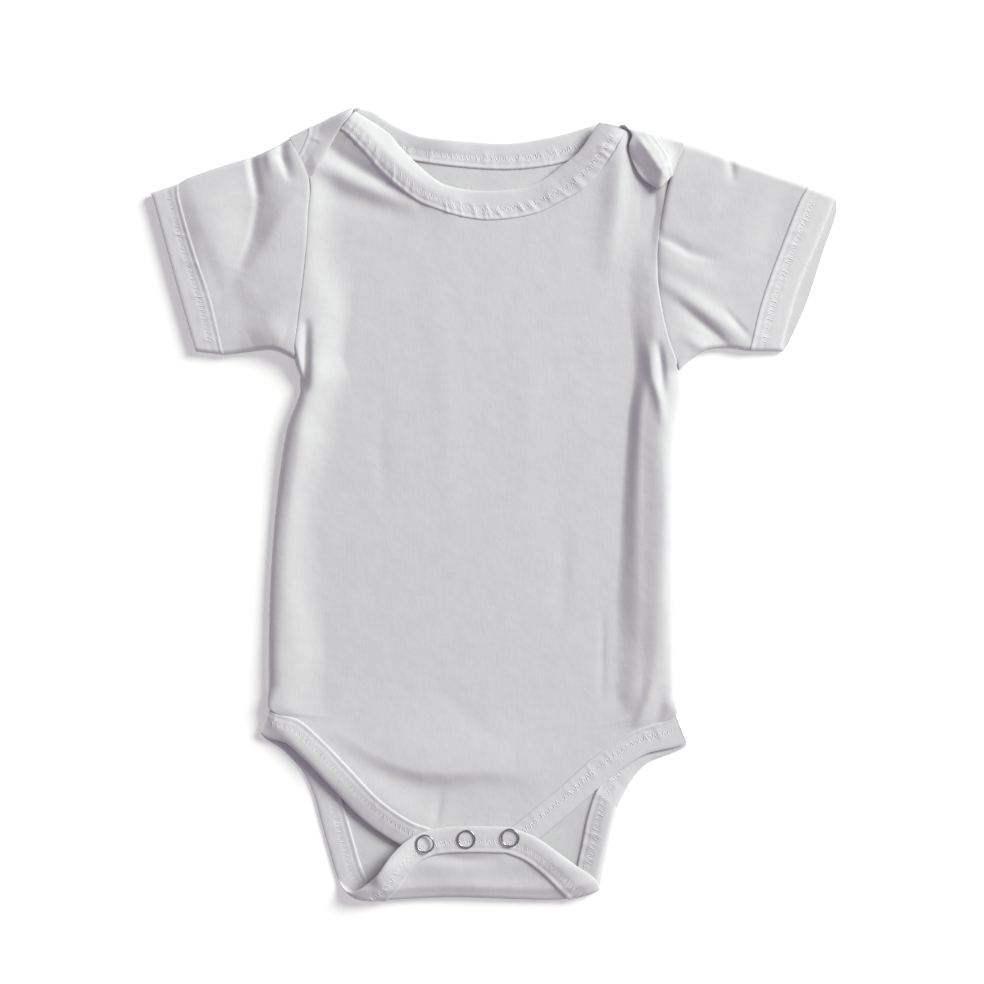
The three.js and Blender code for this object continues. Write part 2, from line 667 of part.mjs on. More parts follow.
function sleeveSolid(shape, folds) {
  const place = patchPlace(shape.armhole, shape.seam, shape.under, shape.over);
  const heightAt = (x, y) => Math.max(sleeveHeight + foldHeight(folds, x, y), 2.9);
  return tubeSolid(place, heightAt, clothWall, sleeveSteps);
}

function cuffSolid(shape) {
  const away = Math.sign(shape.seam[0][0]) * seamGap;
  const seam = shape.seam.map(([x, y]) => [x + away, y]);
  const straight = (edge, end) => [seam.at(end), edge.at(end)];
  const placeFor = (edge) => patchPlace(seam, edge, straight(edge, 0), straight(edge, -1));
  const layers = { front: placeFor(shape.frontEdge), back: placeFor(shape.backEdge) };
  const place = (along, across, layer) => {
    const front = layers.front(along, across);
    const back = layers.back(along, across);
    const own = smoothStep(0, 0.05, Math.min(across, 1 - across));
    return mixPoint(mixPoint(front, back, 0.5), layer === "front" ? front : back, own);
  };
  return tubeSolid(place, () => cuffHeight, bandWall, cuffSteps);
}

// A part turned about its own upright axis, from a closed outline of radius and height.
function turnedSolid(outline, [x, y], bottom) {
  const rings = Array.from({ length: snapSides }, (_, i) => {
    const angle = (2 * Math.PI * i) / snapSides;
    return outline.map(([radius, height]) =>
      [x + radius * Math.cos(angle), y + radius * Math.sin(angle), bottom + height]);
  });
  return solidOfRevolution(rings);
}

// Joins the rings of a turned part; points on the axis are shared by all rings.
function solidOfRevolution(rings) {
  const size = rings[0].length;
  const positions = rings.flat().flat();
  const index = [];
  const near = (a, b) => Math.abs(positions[a] - positions[b]) < 1e-6;
  const same = (a, b) => [0, 1, 2].every((k) => near(3 * a + k, 3 * b + k));
  const face = (a, b, c) => {
    if (!same(a, b) && !same(b, c) && !same(a, c)) index.push(a, b, c);
  };
  for (let i = 0; i < rings.length; i++) {
    const here = i * size;
    const there = ((i + 1) % rings.length) * size;
    for (let k = 0; k < size; k++) {
      const next = (k + 1) % size;
      face(here + k, there + k, there + next);
      face(here + k, there + next, here + next);
    }
  }
  return outwardGeometry(positions, index);
}

function snapRingSolid(centre) {
  const { outer, wire, height } = snapRing;
  const inner = outer - 2 * wire;
  const chamfer = wire / 2;
  const outline = [[inner, 0], [outer, 0], [outer, height - chamfer], [outer - chamfer, height],
    [inner + chamfer, height], [inner, height - chamfer]];
  return turnedSolid(outline, centre, flapFloorHigh + bandWall + snapRing.seat);
}

function snapSocketSolid(centre) {
  const { outer, bore, height } = snapSocket;
  const outline = [[bore, 0], [outer, 0], [outer, height], [bore, height]];
  return turnedSolid(outline, centre, flapFloorHigh - seamGap - height);
}

function snapStudSolid(centre) {
  const { foot, head, height } = snapStud;
  const outline = [[0, 0], [foot, 0], [foot - 0.15, height * 0.5], [head, height * 0.75],
    [foot - 0.3, height], [0, height]];
  return turnedSolid(outline, centre, frontFloor + bandWall + seamGap);
}

function piece(name, geometry, look) {
  const mesh = new THREE.Mesh(geometry, new THREE.MeshStandardMaterial(look));
  mesh.name = name;
  return mesh;
}

// Moves the whole garment so that its box is centred over the origin and rests on the surface.
function restOnSurface(group) {
  const box = new THREE.Box3().setFromObject(group);
  const centre = box.getCenter(new THREE.Vector3());
  group.children.forEach((mesh) => mesh.geometry.translate(-centre.x, -centre.y, -box.min.z));
}

const onesie = new THREE.Group();
onesie.add(
  piece("back_panel", backPanel(), jersey),
  piece("front_panel", frontPanel(), jersey),
  piece("sleeve_left", sleeveSolid(leftSleeve, leftSleeveFolds), jersey),
  piece("sleeve_right", sleeveSolid(rightSleeve, rightSleeveFolds), jersey),
  piece("cuff_left", cuffSolid(leftSleeve), ribbed),
  piece("cuff_right", cuffSolid(rightSleeve), ribbed),
  piece("neckband_front", neckbandFront(), ribbed),
  piece("neckband_back", neckbandBack(), ribbed),
  piece("leg_binding_front", legBindingFront(), ribbed),
  piece("leg_binding_back", legBindingBack(), ribbed),
);
snapPlaces.forEach((centre, i) => {
  onesie.add(
    piece(`snap_ring_${i + 1}`, snapRingSolid(centre), chrome),
    piece(`snap_socket_${i + 1}`, snapSocketSolid(centre), chrome),
    piece(`snap_stud_${i + 1}`, snapStudSolid(centre), chrome),
  );
});
restOnSurface(onesie);

export default onesie;
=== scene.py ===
import math

import bpy
import numpy as np
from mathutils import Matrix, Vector


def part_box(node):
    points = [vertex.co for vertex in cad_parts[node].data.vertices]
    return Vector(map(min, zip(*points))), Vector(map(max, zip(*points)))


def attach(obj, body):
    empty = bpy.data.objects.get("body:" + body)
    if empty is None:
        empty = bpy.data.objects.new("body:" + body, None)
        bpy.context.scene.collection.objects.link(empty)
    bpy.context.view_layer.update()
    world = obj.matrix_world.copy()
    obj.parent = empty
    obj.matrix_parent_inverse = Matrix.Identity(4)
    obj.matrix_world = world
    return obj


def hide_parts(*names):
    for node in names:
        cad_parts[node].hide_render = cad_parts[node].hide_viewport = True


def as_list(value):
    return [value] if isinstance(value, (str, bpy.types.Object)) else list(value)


# A baby's short-sleeved onesie with an envelope neck, laid flat and seen from straight above.
# Lengths are in millimetres until a mesh is made. X runs to the right, Y to the neck, Z up.

MM = 0.001

# Layers: walls, the heights of undersides, the bends of folded-over cloth and the laps' rises
CLOTH_WALL = 1.0
BAND_WALL = 1.7
SEAM_GAP = 0.3
FRONT_FLOOR = BAND_WALL + SEAM_GAP
FRONT_REST = 0.3
SEAM_EDGE_TOP = FRONT_FLOOR + 0.35
SEAM_ROUND = 1.1
SEAM_DIP = 0.45
LEFT_BEND = 1.6
RIGHT_BEND = 1.1
LAP_SEAM_WALL = 1.6
LAP_SEAM_START = 0.94
LAP_SEAM_SIDE = [78, 86]
CROTCH_BEND = 2.0
LAP_FLOOR = FRONT_FLOOR + BAND_WALL + SEAM_GAP
LEFT_LAP_RISE = 1.8
RIGHT_LAP_RISE = 4.6
RIGHT_LAP_FALL = 8.0
FLAP_FLOOR_LOW = 4.6
FLAP_FLOOR_HIGH = 5.5
FLAP_LEAST = 3.0
FLAP_EDGE_DROP = 1.4

# Bands
LEG_BAND_WIDTH = 13
LEG_BAND_ENDS = {"left": [-5, -12.8], "right": [5.5, -13.8]}
BAND_LIP = 0.5
BAND_RIM = 2.4
# A band's seam bead and its stitch grooves: rise, distance from the seam and reach
SEAM_BEAD = [0.22, 0.5, 0.8]
STITCH_GROOVES = [[0.10, 2.2, 0.7], [0.16, 5.4, 1.4]]

# Stitches
STITCH_PITCH = 1.25
STITCH_LINE = 5.2
STITCH_MARGIN = 2
THREAD_RADIUS = 0.17
THREAD_SIDES = 5

# Distances up and down the body over which a table of rows is averaged
TABLE_EASING = [-7, -4.5, -2.5, -0.8, 0.8, 2.5, 4.5, 7]

# Side rolls, from the leg up. Each row holds a height on the body in Y, then distances from the
# body's edge: the roll's crest, where it has fallen half way and where it ends; then its rise.
LEFT_ROLL = [
    [-125, 6, 14, 26, 3.0], [-101, 7, 17, 30, 4.0], [-75, 7, 19.5, 30, 4.2],
    [-50, 7.5, 16, 29, 4.0], [-24, 6.5, 13.5, 27, 3.2], [1, 7, 12.5, 26, 3.6],
    [27, 8, 15.5, 29, 5.8], [40, 7, 14, 29, 6.2], [52, 5.5, 13, 25, 6.6], [65, 5, 14.5, 25, 6.8],
    [78, 5, 17, 26, 6.8], [91, 4, 17.5, 27, 6.0], [103, 3, 17, 27, 4.8], [114, 1.5, 11, 27, 4.4],
    [125, 0.5, 8, 24, 3.6], [135, 0.5, 8, 22, 3.6], [147, 0.5, 7, 20, 4.2],
    [157, 0.5, 6.5, 17, 4.2], [165, 0.5, 6, 15, 2.6], [178, 0.5, 6, 14, 0],
]
# The right roll's rows hold its crest, where its gentle fall ends, where its steep fall starts
# and ends, and the rises of the two.
RIGHT_ROLL = [
    [-125, 8, 14, 15, 26, 0.8, 1.3], [-101, 12, 17, 19, 31, 0.4, 2.6],
    [-75, 8, 17, 14, 29, 1.5, 2.4], [-50, 8, 17, 15, 30, 1.2, 4.2],
    [-24, 7, 18, 16, 28, 1.7, 4.3], [1, 6, 18, 16.5, 27, 1.8, 4.4],
    [27, 8, 18, 16.5, 25, 1.6, 4.4], [40, 8.5, 18, 16.5, 24.5, 1.4, 4.4],
    [52, 10, 19, 17.5, 25, 1.3, 4.3], [62, 11, 18.5, 16, 25, 1.1, 4.1],
    [72, 10, 16.5, 13, 23.5, 0.9, 3.9], [82, 7, 13, 8, 21.5, 0.7, 3.6], [92, 4, 10, 4, 20, 0.4, 3.2],
    [103, 1, 8, 1, 18, 0.3, 2.5], [120, 0.5, 6, 1, 15, 0.1, 1.8], [140, 0.5, 5, 1, 13, 0, 1.2],
    [158, 0.5, 5, 1, 12, 0, 0.8], [178, 0.5, 5, 1, 12, 0, 0],
]

# Sleeves
SLEEVE_HEIGHT = 5.5
CUFF_HEIGHT = 4.4
CUFF_TILT = {"left": 0.1, "right": -1.4}
TUBE_ROLL = 2.6
TUBE_WIDTH = 90
SLEEVE_LENGTH = 52
SLEEVE_SEAM_ROUND = 2.2
SLEEVE_SEAM_LIFT = 0.4
# Heights of a sleeve's top at its armhole seam, by distance up the body.
SLEEVE_SEAM_ROWS = {
    "left": [[66, 8.2], [78, 9.2], [91, 8.6], [103, 7.5], [114, 7.1], [125, 6.4], [147, 7.0],
             [157, 6.9], [165, 6.4], [174, 6.0], [182, 5.6]],
    "right": [[66, 7.2], [78, 7.3], [91, 6.4], [103, 5.3], [120, 4.3], [147, 3.7], [160, 4.4],
              [170, 5.3], [182, 4.4]],
}
CUFF_LENGTH = 88
CUFF_WIDTH = 14.5

# The cut of what shows of each piece: its width and length, and its area, which is less than
# their product where the cut has curved edges. A sleeve and a cuff are cut to go all round.
# These are estimates: measured on the pieces, the front neck band is 23 shorter and the back one
# 12, and the cuffs are 9 and 6 longer.
CUTS = {
    "front_cloth": (215, 360, 61500), "back_cloth": (215, 430, 71000),
    "left_sleeve_cloth": (225, 62, 11200), "right_sleeve_cloth": (230, 66, 12000),
    "left_cuff_band": (172, 14.5, 2450), "right_cuff_band": (172, 18, 2950),
    "front_leg_band": (13, 250, 3250), "back_leg_band": (13, 345, 4480),
    "front_neck_band": (12.7, 188, 2380), "back_neck_band": (13, 235, 3050),
}

SNAP_PLACES = [[-35.2, -172.7], [-14.3, -170.6], [7.9, -169.8]]
SNAP_RING_RADIUS = 4.3
SNAP_WIRE_REACH = 0.45
SNAP_WIRE_RISE = 0.4
SNAP_SEAT_RADIUS = 5
SNAP_LIFT = 0.1
SNAP_RING_SIDES = 64

# Outlines. A panel's rows hold a left and a right point, from the crotch up. SIDE_ROWS are the
# rows that front and back share. EDGE_CROWDING draws a panel's columns to its sides.
EDGE_CROWDING = 0.5
SIDE_ROWS = [
    {"left": [-114.8, -92], "right": [91, -96]},
    {"left": [-114.5, -49.7], "right": [91, -49.7]},
    {"left": [-111.4, -3.8], "right": [91.3, -3.8]},
    {"left": [-105.8, 37], "right": [92.1, 37]},
    {"left": [-98.2, 59.9], "right": [95.1, 58.4]},
    {"left": [-101.7, 72.7], "right": [94.1, 67.1]},
    {"left": [-99.7, 93.1], "right": [88, 85.4]},
    {"left": [-96.6, 121.1], "right": [83.4, 109.4]},
    {"left": [-94.9, 146.6], "right": [83.4, 131.3]},
    {"left": [-94.1, 162.9], "right": [88.5, 160.9]},
]
FRONT_ROWS = [
    {"left": [-31.4, -166.5], "right": [7.9, -166]},
    {"left": [-43.1, -161.9], "right": [18.1, -157.8]},
    {"left": [-58.4, -151.2], "right": [33.4, -145.1]},
    {"left": [-72.7, -136.4], "right": [48.7, -131.3]},
    {"left": [-86.4, -122.1], "right": [58.9, -123.7]},
    {"left": [-99.2, -110.9], "right": [71.7, -116]},
    {"left": [-114, -104.8], "right": [92.1, -108.4]},
    *SIDE_ROWS,
    {"left": [-100.2, 178.8], "right": [92.4, 177]},
]
FRONT_LEG_END = 6
FRONT_ARMPIT = 12
FRONT_TOP = [
    [-100.2, 178.8], [-91, 183.3], [-83, 187.4], [-78.2, 189.6], [-66, 178], [-58, 169],
    [-48, 160], [-38, 153], [-28, 149], [-18, 146], [-5, 144], [10, 145], [23, 148], [33, 153],
    [44, 159], [54, 169], [61, 178.3], [68, 188.4], [79, 182], [92.4, 177],
]
FRONT_NECK_ENDS = {"left": -78.6, "right": 68.2}
FRONT_NECK_EDGE = [
    [-70.6, 198.8], [-54, 188], [-48, 181], [-38, 171], [-28, 163], [-20, 160.3], [-12, 159],
    [-3, 158.6], [8, 159.2], [17, 160.6], [26, 165], [34, 171], [43, 178.5], [52.8, 192.8],
]

BACK_ROWS = [
    {"left": [-60, -199.2], "right": [40, -199.2]},
    {"left": [-67.1, -188.4], "right": [42.1, -186.4]},
    {"left": [-71.7, -173.7], "right": [45.1, -172.1]},
    {"left": [-75.7, -159.4], "right": [47.7, -159.4]},
    {"left": [-79.8, -144.6], "right": [52.3, -146.1]},
    {"left": [-87, -129.8], "right": [60.4, -132.3]},
    {"left": [-99.2, -116.5], "right": [71.1, -121.6]},
    {"left": [-114, -104.8], "right": [92.1, -110]},
    *SIDE_ROWS,
    {"left": [-102.6, 182], "right": [95.9, 180.4]},
]
BACK_LEG_END = 7
BACK_ARMPIT = 13
FLAP_ROWS = [
    {"left": [-29.3, -178.2], "right": [6.4, -177.5]},
    {"left": [-36.6, -180.8], "right": [15.6, -181.3]},
    {"left": [-43, -186.6], "right": [25, -188.5]},
    {"left": [-49.5, -196], "right": [33.5, -197]},
]
BACK_NECK_ROWS = [
    {"seam": ("left", [-99.6, 175.7]), "edge": ("left", [-94.4, 162.8])},
    {"seam": ("left", [-97.5, 180]), "edge": ("left", [-88.5, 171.5])},
    {"seam": ("left", [-95, 186]), "edge": ("left", [-83, 181.5])},
    {"seam": (None, [-90.5, 189.4]), "edge": ("left", [-77.5, 190.6])},
    {"seam": (None, [-84, 190.6]), "edge": ("left", [-72.8, 196.4])},
    {"seam": (None, [-77, 190]), "edge": (None, [-66.8, 200.4])},
    {"seam": (None, [-70, 188]), "edge": (None, [-61.5, 198.8])},
    {"seam": (None, [-61, 183]), "edge": (None, [-55.5, 194.8])},
    {"seam": (None, [-51, 177]), "edge": (None, [-47, 190])},
    {"seam": (None, [-39, 174]), "edge": (None, [-36, 186])},
    {"seam": (None, [-15, 171]), "edge": (None, [-14, 184])},
    {"seam": (None, [8, 170]), "edge": (None, [7, 183])},
    {"seam": (None, [28, 172]), "edge": (None, [26, 185.6])},
    {"seam": (None, [40, 175]), "edge": (None, [36.5, 188])},
    {"seam": (None, [51, 179]), "edge": (None, [47, 191.2])},
    {"seam": (None, [62, 183]), "edge": (None, [56.5, 193.4])},
    {"seam": (None, [70, 185]), "edge": (None, [64, 192.3])},
    {"seam": (None, [76, 185.6]), "edge": ("right", [69.4, 187])},
    {"seam": ("right", [82.5, 183.5]), "edge": ("right", [68.2, 181])},
    {"seam": ("right", [86.4, 178.4]), "edge": ("right", [69.9, 173.4])},
    {"seam": ("right", [89.4, 171.8]), "edge": ("right", [75, 164.8])},
    {"seam": ("right", [90.4, 166]), "edge": ("right", [83.6, 158.8])},
]

LEFT_CUFF_EDGE = [[-151.7, 76.6], [-159.4, 103.3], [-166.5, 128.8], [-173.4, 154.3], [-175, 157.6]]
LEFT_SLEEVE = {
    "armhole": [[-102.3, 72.4], [-100.2, 93.1], [-97.1, 121.1], [-95.4, 146.6], [-94.9, 162.9],
                [-100.2, 176.2], [-105.2, 185]],
    "seam": [[-137.8, 75], [-144.4, 103.3], [-153, 128.8], [-160.2, 154.3], [-160.7, 162.3]],
    "under": [[-102.3, 72.4], [-109.4, 76.4], [-114.5, 77.5], [-127.2, 76.2], [-137.8, 75]],
    "over": [[-105.2, 185], [-118.6, 177.7], [-137.4, 171.6], [-155.3, 165.3], [-160.7, 162.3]],
    "front_edge": LEFT_CUFF_EDGE,
    "back_edge": LEFT_CUFF_EDGE,
}
RIGHT_SLEEVE = {
    "armhole": [[94.7, 66.8], [88.5, 85.4], [83.9, 109.4], [83.9, 131.3], [89.1, 160.9],
                [97.2, 182.6]],
    "seam": [[129.6, 76.9], [136.2, 103.3], [147.4, 133.9], [155.6, 154.3], [159.7, 160.9]],
    "under": [[94.7, 66.8], [99.7, 72.6], [107.9, 77.4], [118.6, 78.4], [129.6, 76.9]],
    "over": [[97.2, 182.6], [105.8, 180.3], [120.1, 174.8], [140.5, 167.6], [159.7, 160.9]],
    "front_edge": [[145.6, 77], [154.3, 108.4], [163.5, 130.3], [170.1, 146.6], [173.4, 155.5]],
    "back_edge": [[147.6, 76.6], [158.4, 100.7], [167, 127], [173.8, 147], [174, 156.2]],
}


# Folds
def crease(rise, left, right, *path):
    """A fold along the points of its crest or bottom, up where its rise is positive, which spreads
    by left and right on those sides of its path."""
    return {"path": path, "rise": rise, "reach": [left, right]}


NECK_FOLDS = [
    crease(3.8, 7, 10, [-88, 208], [-74, 194], [-63, 183], [-51, 172], [-38, 162], [-24, 155]),
    crease(3.8, 6, 13, [98, 228], [76, 203], [66, 192], [55, 178], [45, 168], [34, 160]),
    crease(1.8, 7, 20, [50, 202], [57, 191], [62, 181], [65, 172]),
]
LEG_FOLDS = [
    crease(3.0, 15, 6, [-118, -84], [-116, -100], [-109, -113], [-98, -124], [-86, -137],
           [-74, -148]),
    crease(2.4, 11, 12, [-82, -130], [-68, -143], [-54, -154], [-42, -162], [-32, -167]),
]
UNDER_FOLDS = [
    crease(2.8, 3, 10, [67, -146], [60, -154], [57, -167], [53, -182], [50, -196]),
    crease(2.2, 12, 15, [-27, 198], [-27, 187], [-27, 177]),
]
FLAP_FOLDS = [
    crease(4.4, 7, 9, [-86, -208], [-66, -196], [-56, -187], [-48, -178], [-42, -168]),
    crease(2.8, 11, 4, [-65, -178], [-60, -186], [-56, -195]),
    crease(1.6, 7, 7, [52, -199], [40, -190], [28, -179], [16, -171]),
    crease(1.0, 7, 8, [-28, -196], [-12, -194], [6, -196]),
    crease(-1.2, 3, 3.5, [-31, -179.5], [-16, -181.5], [0, -181]),
]
BODY_FOLDS = [
    crease(2.6, 6.5, 5.4, [-96, 176], [-89, 172], [-75, 164.5], [-59, 158], [-44, 153]),
    crease(-1.7, 3.5, 4, [-88, 184], [-78, 175], [-64, 167], [-49, 158.5], [-38, 153]),
    crease(-0.8, 6, 6, [-86, 160], [-72, 154], [-58, 150], [-44, 148]),
    crease(2.2, 5, 7, [64, 192], [63.5, 174], [62, 152], [58, 124]),
    crease(-1.8, 4, 7, [80, 163], [80.5, 148], [78, 126]),
    crease(-3.6, 2.8, 2, [-95.6, 90], [-96, 78], [-96.2, 68], [-96.4, 58]),
    crease(-1.8, 2, 1.8, [83.2, 80], [84.6, 70], [85.4, 58]),
    crease(1.5, 2.6, 2.4, [78, 79], [80, 63], [83.5, 52], [85, 42]),
    crease(-0.35, 1.6, 2.4, [55, -56], [55, -78], [55, -100]),
    crease(-0.4, 4, 5, [36, -15], [35, -34], [33, -56]),
    crease(1.0, 3, 3, [80, -92], [76, -105], [72, -115]),
    crease(-0.9, 3, 3, [86, -96], [84, -106], [81, -113]),
    crease(3.0, 24, 6, [-76, -118], [-62, -127], [-48, -133], [-36, -136], [-22, -136.5],
           [-6, -135.5], [10, -137]),
    crease(-0.5, 2, 3, [-27, -147], [-28.5, -156], [-30, -165]),
    crease(-0.3, 5, 5, [-28, -96], [-15, -108], [-2, -121]),
    crease(-0.3, 4, 4, [-57, 54], [-58, 27], [-56, 0]),
    crease(0.3, 7, 7, [-30, 105], [-24, 50], [-24, -10]),
    crease(0.3, 8, 8, [13, 90], [18, 37], [14, -20]),
]
LEFT_SLEEVE_FOLDS = [
    crease(-2.4, 3.2, 1.8, [-124, 179], [-123.5, 171], [-121.5, 158]),
    crease(-2.6, 3.2, 1.8, [-108, 186], [-108.5, 176], [-105, 166]),
    crease(1.2, 3, 2.6, [-115, 184], [-114.5, 175], [-113, 168]),
    crease(-2.4, 7, 12, [-122, 170], [-120.5, 150], [-124, 134], [-131, 118]),
    crease(-0.7, 2.6, 1.6, [-121, 163], [-121, 150], [-124, 135], [-129, 121]),
    crease(1.5, 11, 5, [-99, 156], [-107, 145], [-116, 130], [-126, 114]),
    crease(2.8, 18, 9, [-154, 165], [-149, 148], [-144, 130], [-139, 108]),
    crease(-0.4, 6, 7, [-138, 112], [-129, 100], [-121, 92]),
    crease(1.8, 7, 6, [-123, 81], [-113, 86], [-106, 84]),
    crease(-0.6, 4, 4, [-148, 136], [-143, 117], [-138, 98]),
]
RIGHT_SLEEVE_FOLDS = [
    crease(-1.2, 3.4, 2.2, [82, 136], [91, 132], [99, 127], [110, 124]),
    crease(0.9, 6, 6, [84, 126], [97, 118], [112, 112]),
    crease(1.9, 5, 3.6, [86, 112], [101, 101.5], [114.5, 91.5], [124, 83]),
    crease(-1.2, 2, 4, [95, 99.5], [105, 91.5], [113.5, 84.5], [119.5, 78]),
    crease(1.0, 17, 5, [93, 176], [90, 160], [87.5, 140], [88, 118], [90, 100]),
    crease(-0.7, 1.6, 2, [117, 98], [124, 90], [130, 84]),
    crease(1.0, 3, 3, [97, 84], [103, 80], [108, 78]),
    crease(-1.2, 2, 2.6, [119, 178], [120.5, 171], [121, 165]),
    crease(0.8, 7, 8, [120, 168], [108, 152], [94, 146]),
    crease(-0.9, 7, 7, [149, 158], [142, 143], [136, 128]),
]


# Curves and sheets
def mix(a, b, share):
    return a + (b - a) * share


def smooth_step(low, high, value):
    share = np.clip((value - low) / (high - low), 0, 1)
    return share * share * (3 - 2 * share)


def length_stops(points):
    steps = np.linalg.norm(np.diff(np.asarray(points, float), axis=0), axis=1)
    stops = np.concatenate([[0], np.cumsum(steps)])
    return stops / stops[-1]


def smooth_path(points, stops=None):
    """A smooth curve through the points, as a function of shares from 0 to 1."""
    points = np.asarray(points, float)
    stops = length_stops(points) if stops is None else np.asarray(stops, float)
    last = len(points) - 1
    order = np.arange(last + 1)
    before, after = np.maximum(order - 1, 0), np.minimum(order + 1, last)
    slopes = (points[after] - points[before]) / (stops[after] - stops[before])[:, None]

    def at(share):
        share = np.asarray(share, float)
        i = np.clip(np.searchsorted(stops, share, side="left"), 1, last)
        run = stops[i] - stops[i - 1]
        f = np.clip((share - stops[i - 1]) / run, 0, 1)
        rise = (f * f * (3 - 2 * f))[..., None]
        leave = (f * (1 - f) ** 2 * run)[..., None]
        arrive = (f * f * (f - 1) * run)[..., None]
        return (mix(points[i - 1], points[i], rise) + slopes[i - 1] * leave
                + slopes[i] * arrive)

    return at


def panel_sheet(rows, top_points, top_stops=None):
    """A sheet of plan points from rows of left and right points and a top edge."""
    left_points = [row["left"] for row in rows]
    right_points = [row["right"] for row in rows]
    stops = (length_stops(left_points) + length_stops(right_points)) / 2
    left, right = smooth_path(left_points, stops), smooth_path(right_points, stops)
    top = smooth_path(top_points, top_stops)
    top_left, top_right = np.array(left_points[-1]), np.array(right_points[-1])

    def point(u, v):
        u, v = np.broadcast_arrays(np.asarray(u, float), np.asarray(v, float))
        row = mix(left(v), right(v), u[..., None])
        straight = mix(top_left, top_right, u[..., None])
        return row + (v ** 3)[..., None] * (top(u) - straight)

    return {"point": point, "left": left, "right": right, "stops": stops}


def crowded_shares(count):
    """Shares from 0 to 1 that lie closer together near both ends."""
    t = np.linspace(0, 1, count + 1)
    return t - EDGE_CROWDING * np.sin(2 * np.pi * t) / (2 * np.pi)


def stepped_shares(stops, counts):
    pieces = [np.linspace(stops[i], stops[i + 1], count + 1)[:-1]
              for i, count in enumerate(counts)]
    return np.concatenate([*pieces, [stops[-1]]])


def fold_height(folds, x, y):
    """The summed height of soft folds at plan points."""
    height = np.zeros_like(x, dtype=float)
    for fold in folds:
        nearest = np.full_like(height, np.inf)
        beside = np.zeros_like(height)
        share = np.zeros_like(height)
        path = fold["path"]
        spans = len(path) - 1
        for i in range(spans):
            (ax, ay), (bx, by) = path[i], path[i + 1]
            dx, dy = bx - ax, by - ay
            length = math.hypot(dx, dy)
            along = np.clip(((x - ax) * dx + (y - ay) * dy) / length ** 2, 0, 1)
            off_x, off_y = x - ax - along * dx, y - ay - along * dy
            distance = np.hypot(off_x, off_y)
            closer = distance < nearest
            nearest = np.where(closer, distance, nearest)
            beside = np.where(closer, (dx * off_y - dy * off_x) / length, beside)
            share = np.where(closer, (i + along) / spans, share)
        turn = np.clip(beside / np.maximum(nearest, 1e-6), -1, 1)
        left, right = fold["reach"]
        reach = (left + right) / 2 + turn * (left - right) / 2
        fade = 0.35 + 0.65 * np.sin(np.pi * share)
        height += fold["rise"] * fade * np.exp(-((nearest / reach) ** 2))
    return height


# Folded-over layers
SHOULDER_START = 60
SHOULDER_DIP = 2.6
SHOULDER_DIP_ENDS = [61, 69]


def straight_fold(start, end, bend, side):
    """A shoulder's fold line: how far points lie beyond it, and which way that is."""
    start, end = np.array(start, float), np.array(end, float)
    run = end - start
    outward = np.array([-run[1], run[0]]) / np.linalg.norm(run)

    def beyond(x, y):
        reach = (x - start[0]) * outward[0] + (y - start[1]) * outward[1]
        reach = reach - SHOULDER_DIP * (1 - smooth_step(*SHOULDER_DIP_ENDS, side * x))
        return np.where(side * x > SHOULDER_START, reach, -1.0)

    return {"bend": bend, "outward": outward, "beyond": beyond}


LEFT_FOLD = straight_fold([-103.6, 183.9], [-67.9, 200.2], LEFT_BEND, -1)
RIGHT_FOLD = straight_fold([68.2, 189], [96.2, 181.8], RIGHT_BEND, 1)
CROTCH_ENDS = [-90, 70]
CROTCH_POINTS = [
    [-90, -180], [-82, -188], [-76, -195.2], [-70, -199], [-62, -200], [-22, -198.4],
    [22, -199.7], [37, -199.2], [50, -196], [60, -191], [70, -184],
]


def crotch_share(x):
    return np.clip((np.asarray(x) - CROTCH_ENDS[0]) / (CROTCH_ENDS[1] - CROTCH_ENDS[0]), 0, 1)


CROTCH_LINE = smooth_path(CROTCH_POINTS, crotch_share([x for x, y in CROTCH_POINTS]))
CROTCH_FOLD = {
    "bend": CROTCH_BEND,
    "outward": np.array([0.0, -1.0]),
    "beyond": lambda x, y: CROTCH_LINE(crotch_share(x))[..., 1] - y,
}
FOLDS = {"left": LEFT_FOLD, "right": RIGHT_FOLD}


# Lines on the laps: a point on each and the direction in which distances from it grow
LAP_LINES = {
    "left_across": [[-92.6, 189.5], [0.85, -0.53]],
    "left_armhole": [[-94.9, 162.9], [1, 0.466]],
    "right_across": [[68.6, 190.5], [-0.817, -0.578]],
    "right_along": [[68.6, 190.5], [0.578, -0.817]],
    "right_armhole": [[89.1, 160.9], [-1, 0.373]],
}


def from_line(line, x, y):
    (at_x, at_y), (dx, dy) = LAP_LINES[line]
    return (x - at_x) * dx + (y - at_y) * dy


def lap_bottom(x, y):
    """The underside of the shoulder laps, which rise towards their strips' free edges."""
    left = LEFT_LAP_RISE * smooth_step(0, 12.7, from_line("left_across", x, y))
    left = left * smooth_step(0, 9, from_line("left_armhole", x, y))
    across = from_line("right_across", x, y)
    along = from_line("right_along", x, y)
    right = RIGHT_LAP_RISE * smooth_step(-15, 1, across) * smooth_step(-1, 12, along)
    right = right * (1 - np.clip(across / RIGHT_LAP_FALL, 0, 1))
    right = right * smooth_step(0, 7, from_line("right_armhole", x, y))
    return LAP_FLOOR + np.where(x > 0, right, left) + fold_height(NECK_FOLDS, x, y)


def flap_bottom(x, y):
    """The underside of the crotch flap, which drops towards its fold."""
    level = mix(FLAP_FLOOR_LOW, FLAP_FLOOR_HIGH, smooth_step(-192, -182, y))
    above_fold = y - CROTCH_LINE(crotch_share(x))[..., 1]
    level = level - FLAP_EDGE_DROP * (1 - smooth_step(-1, 4.5, above_fold))
    return np.maximum(level + fold_height(FLAP_FOLDS, x, y), FLAP_LEAST)


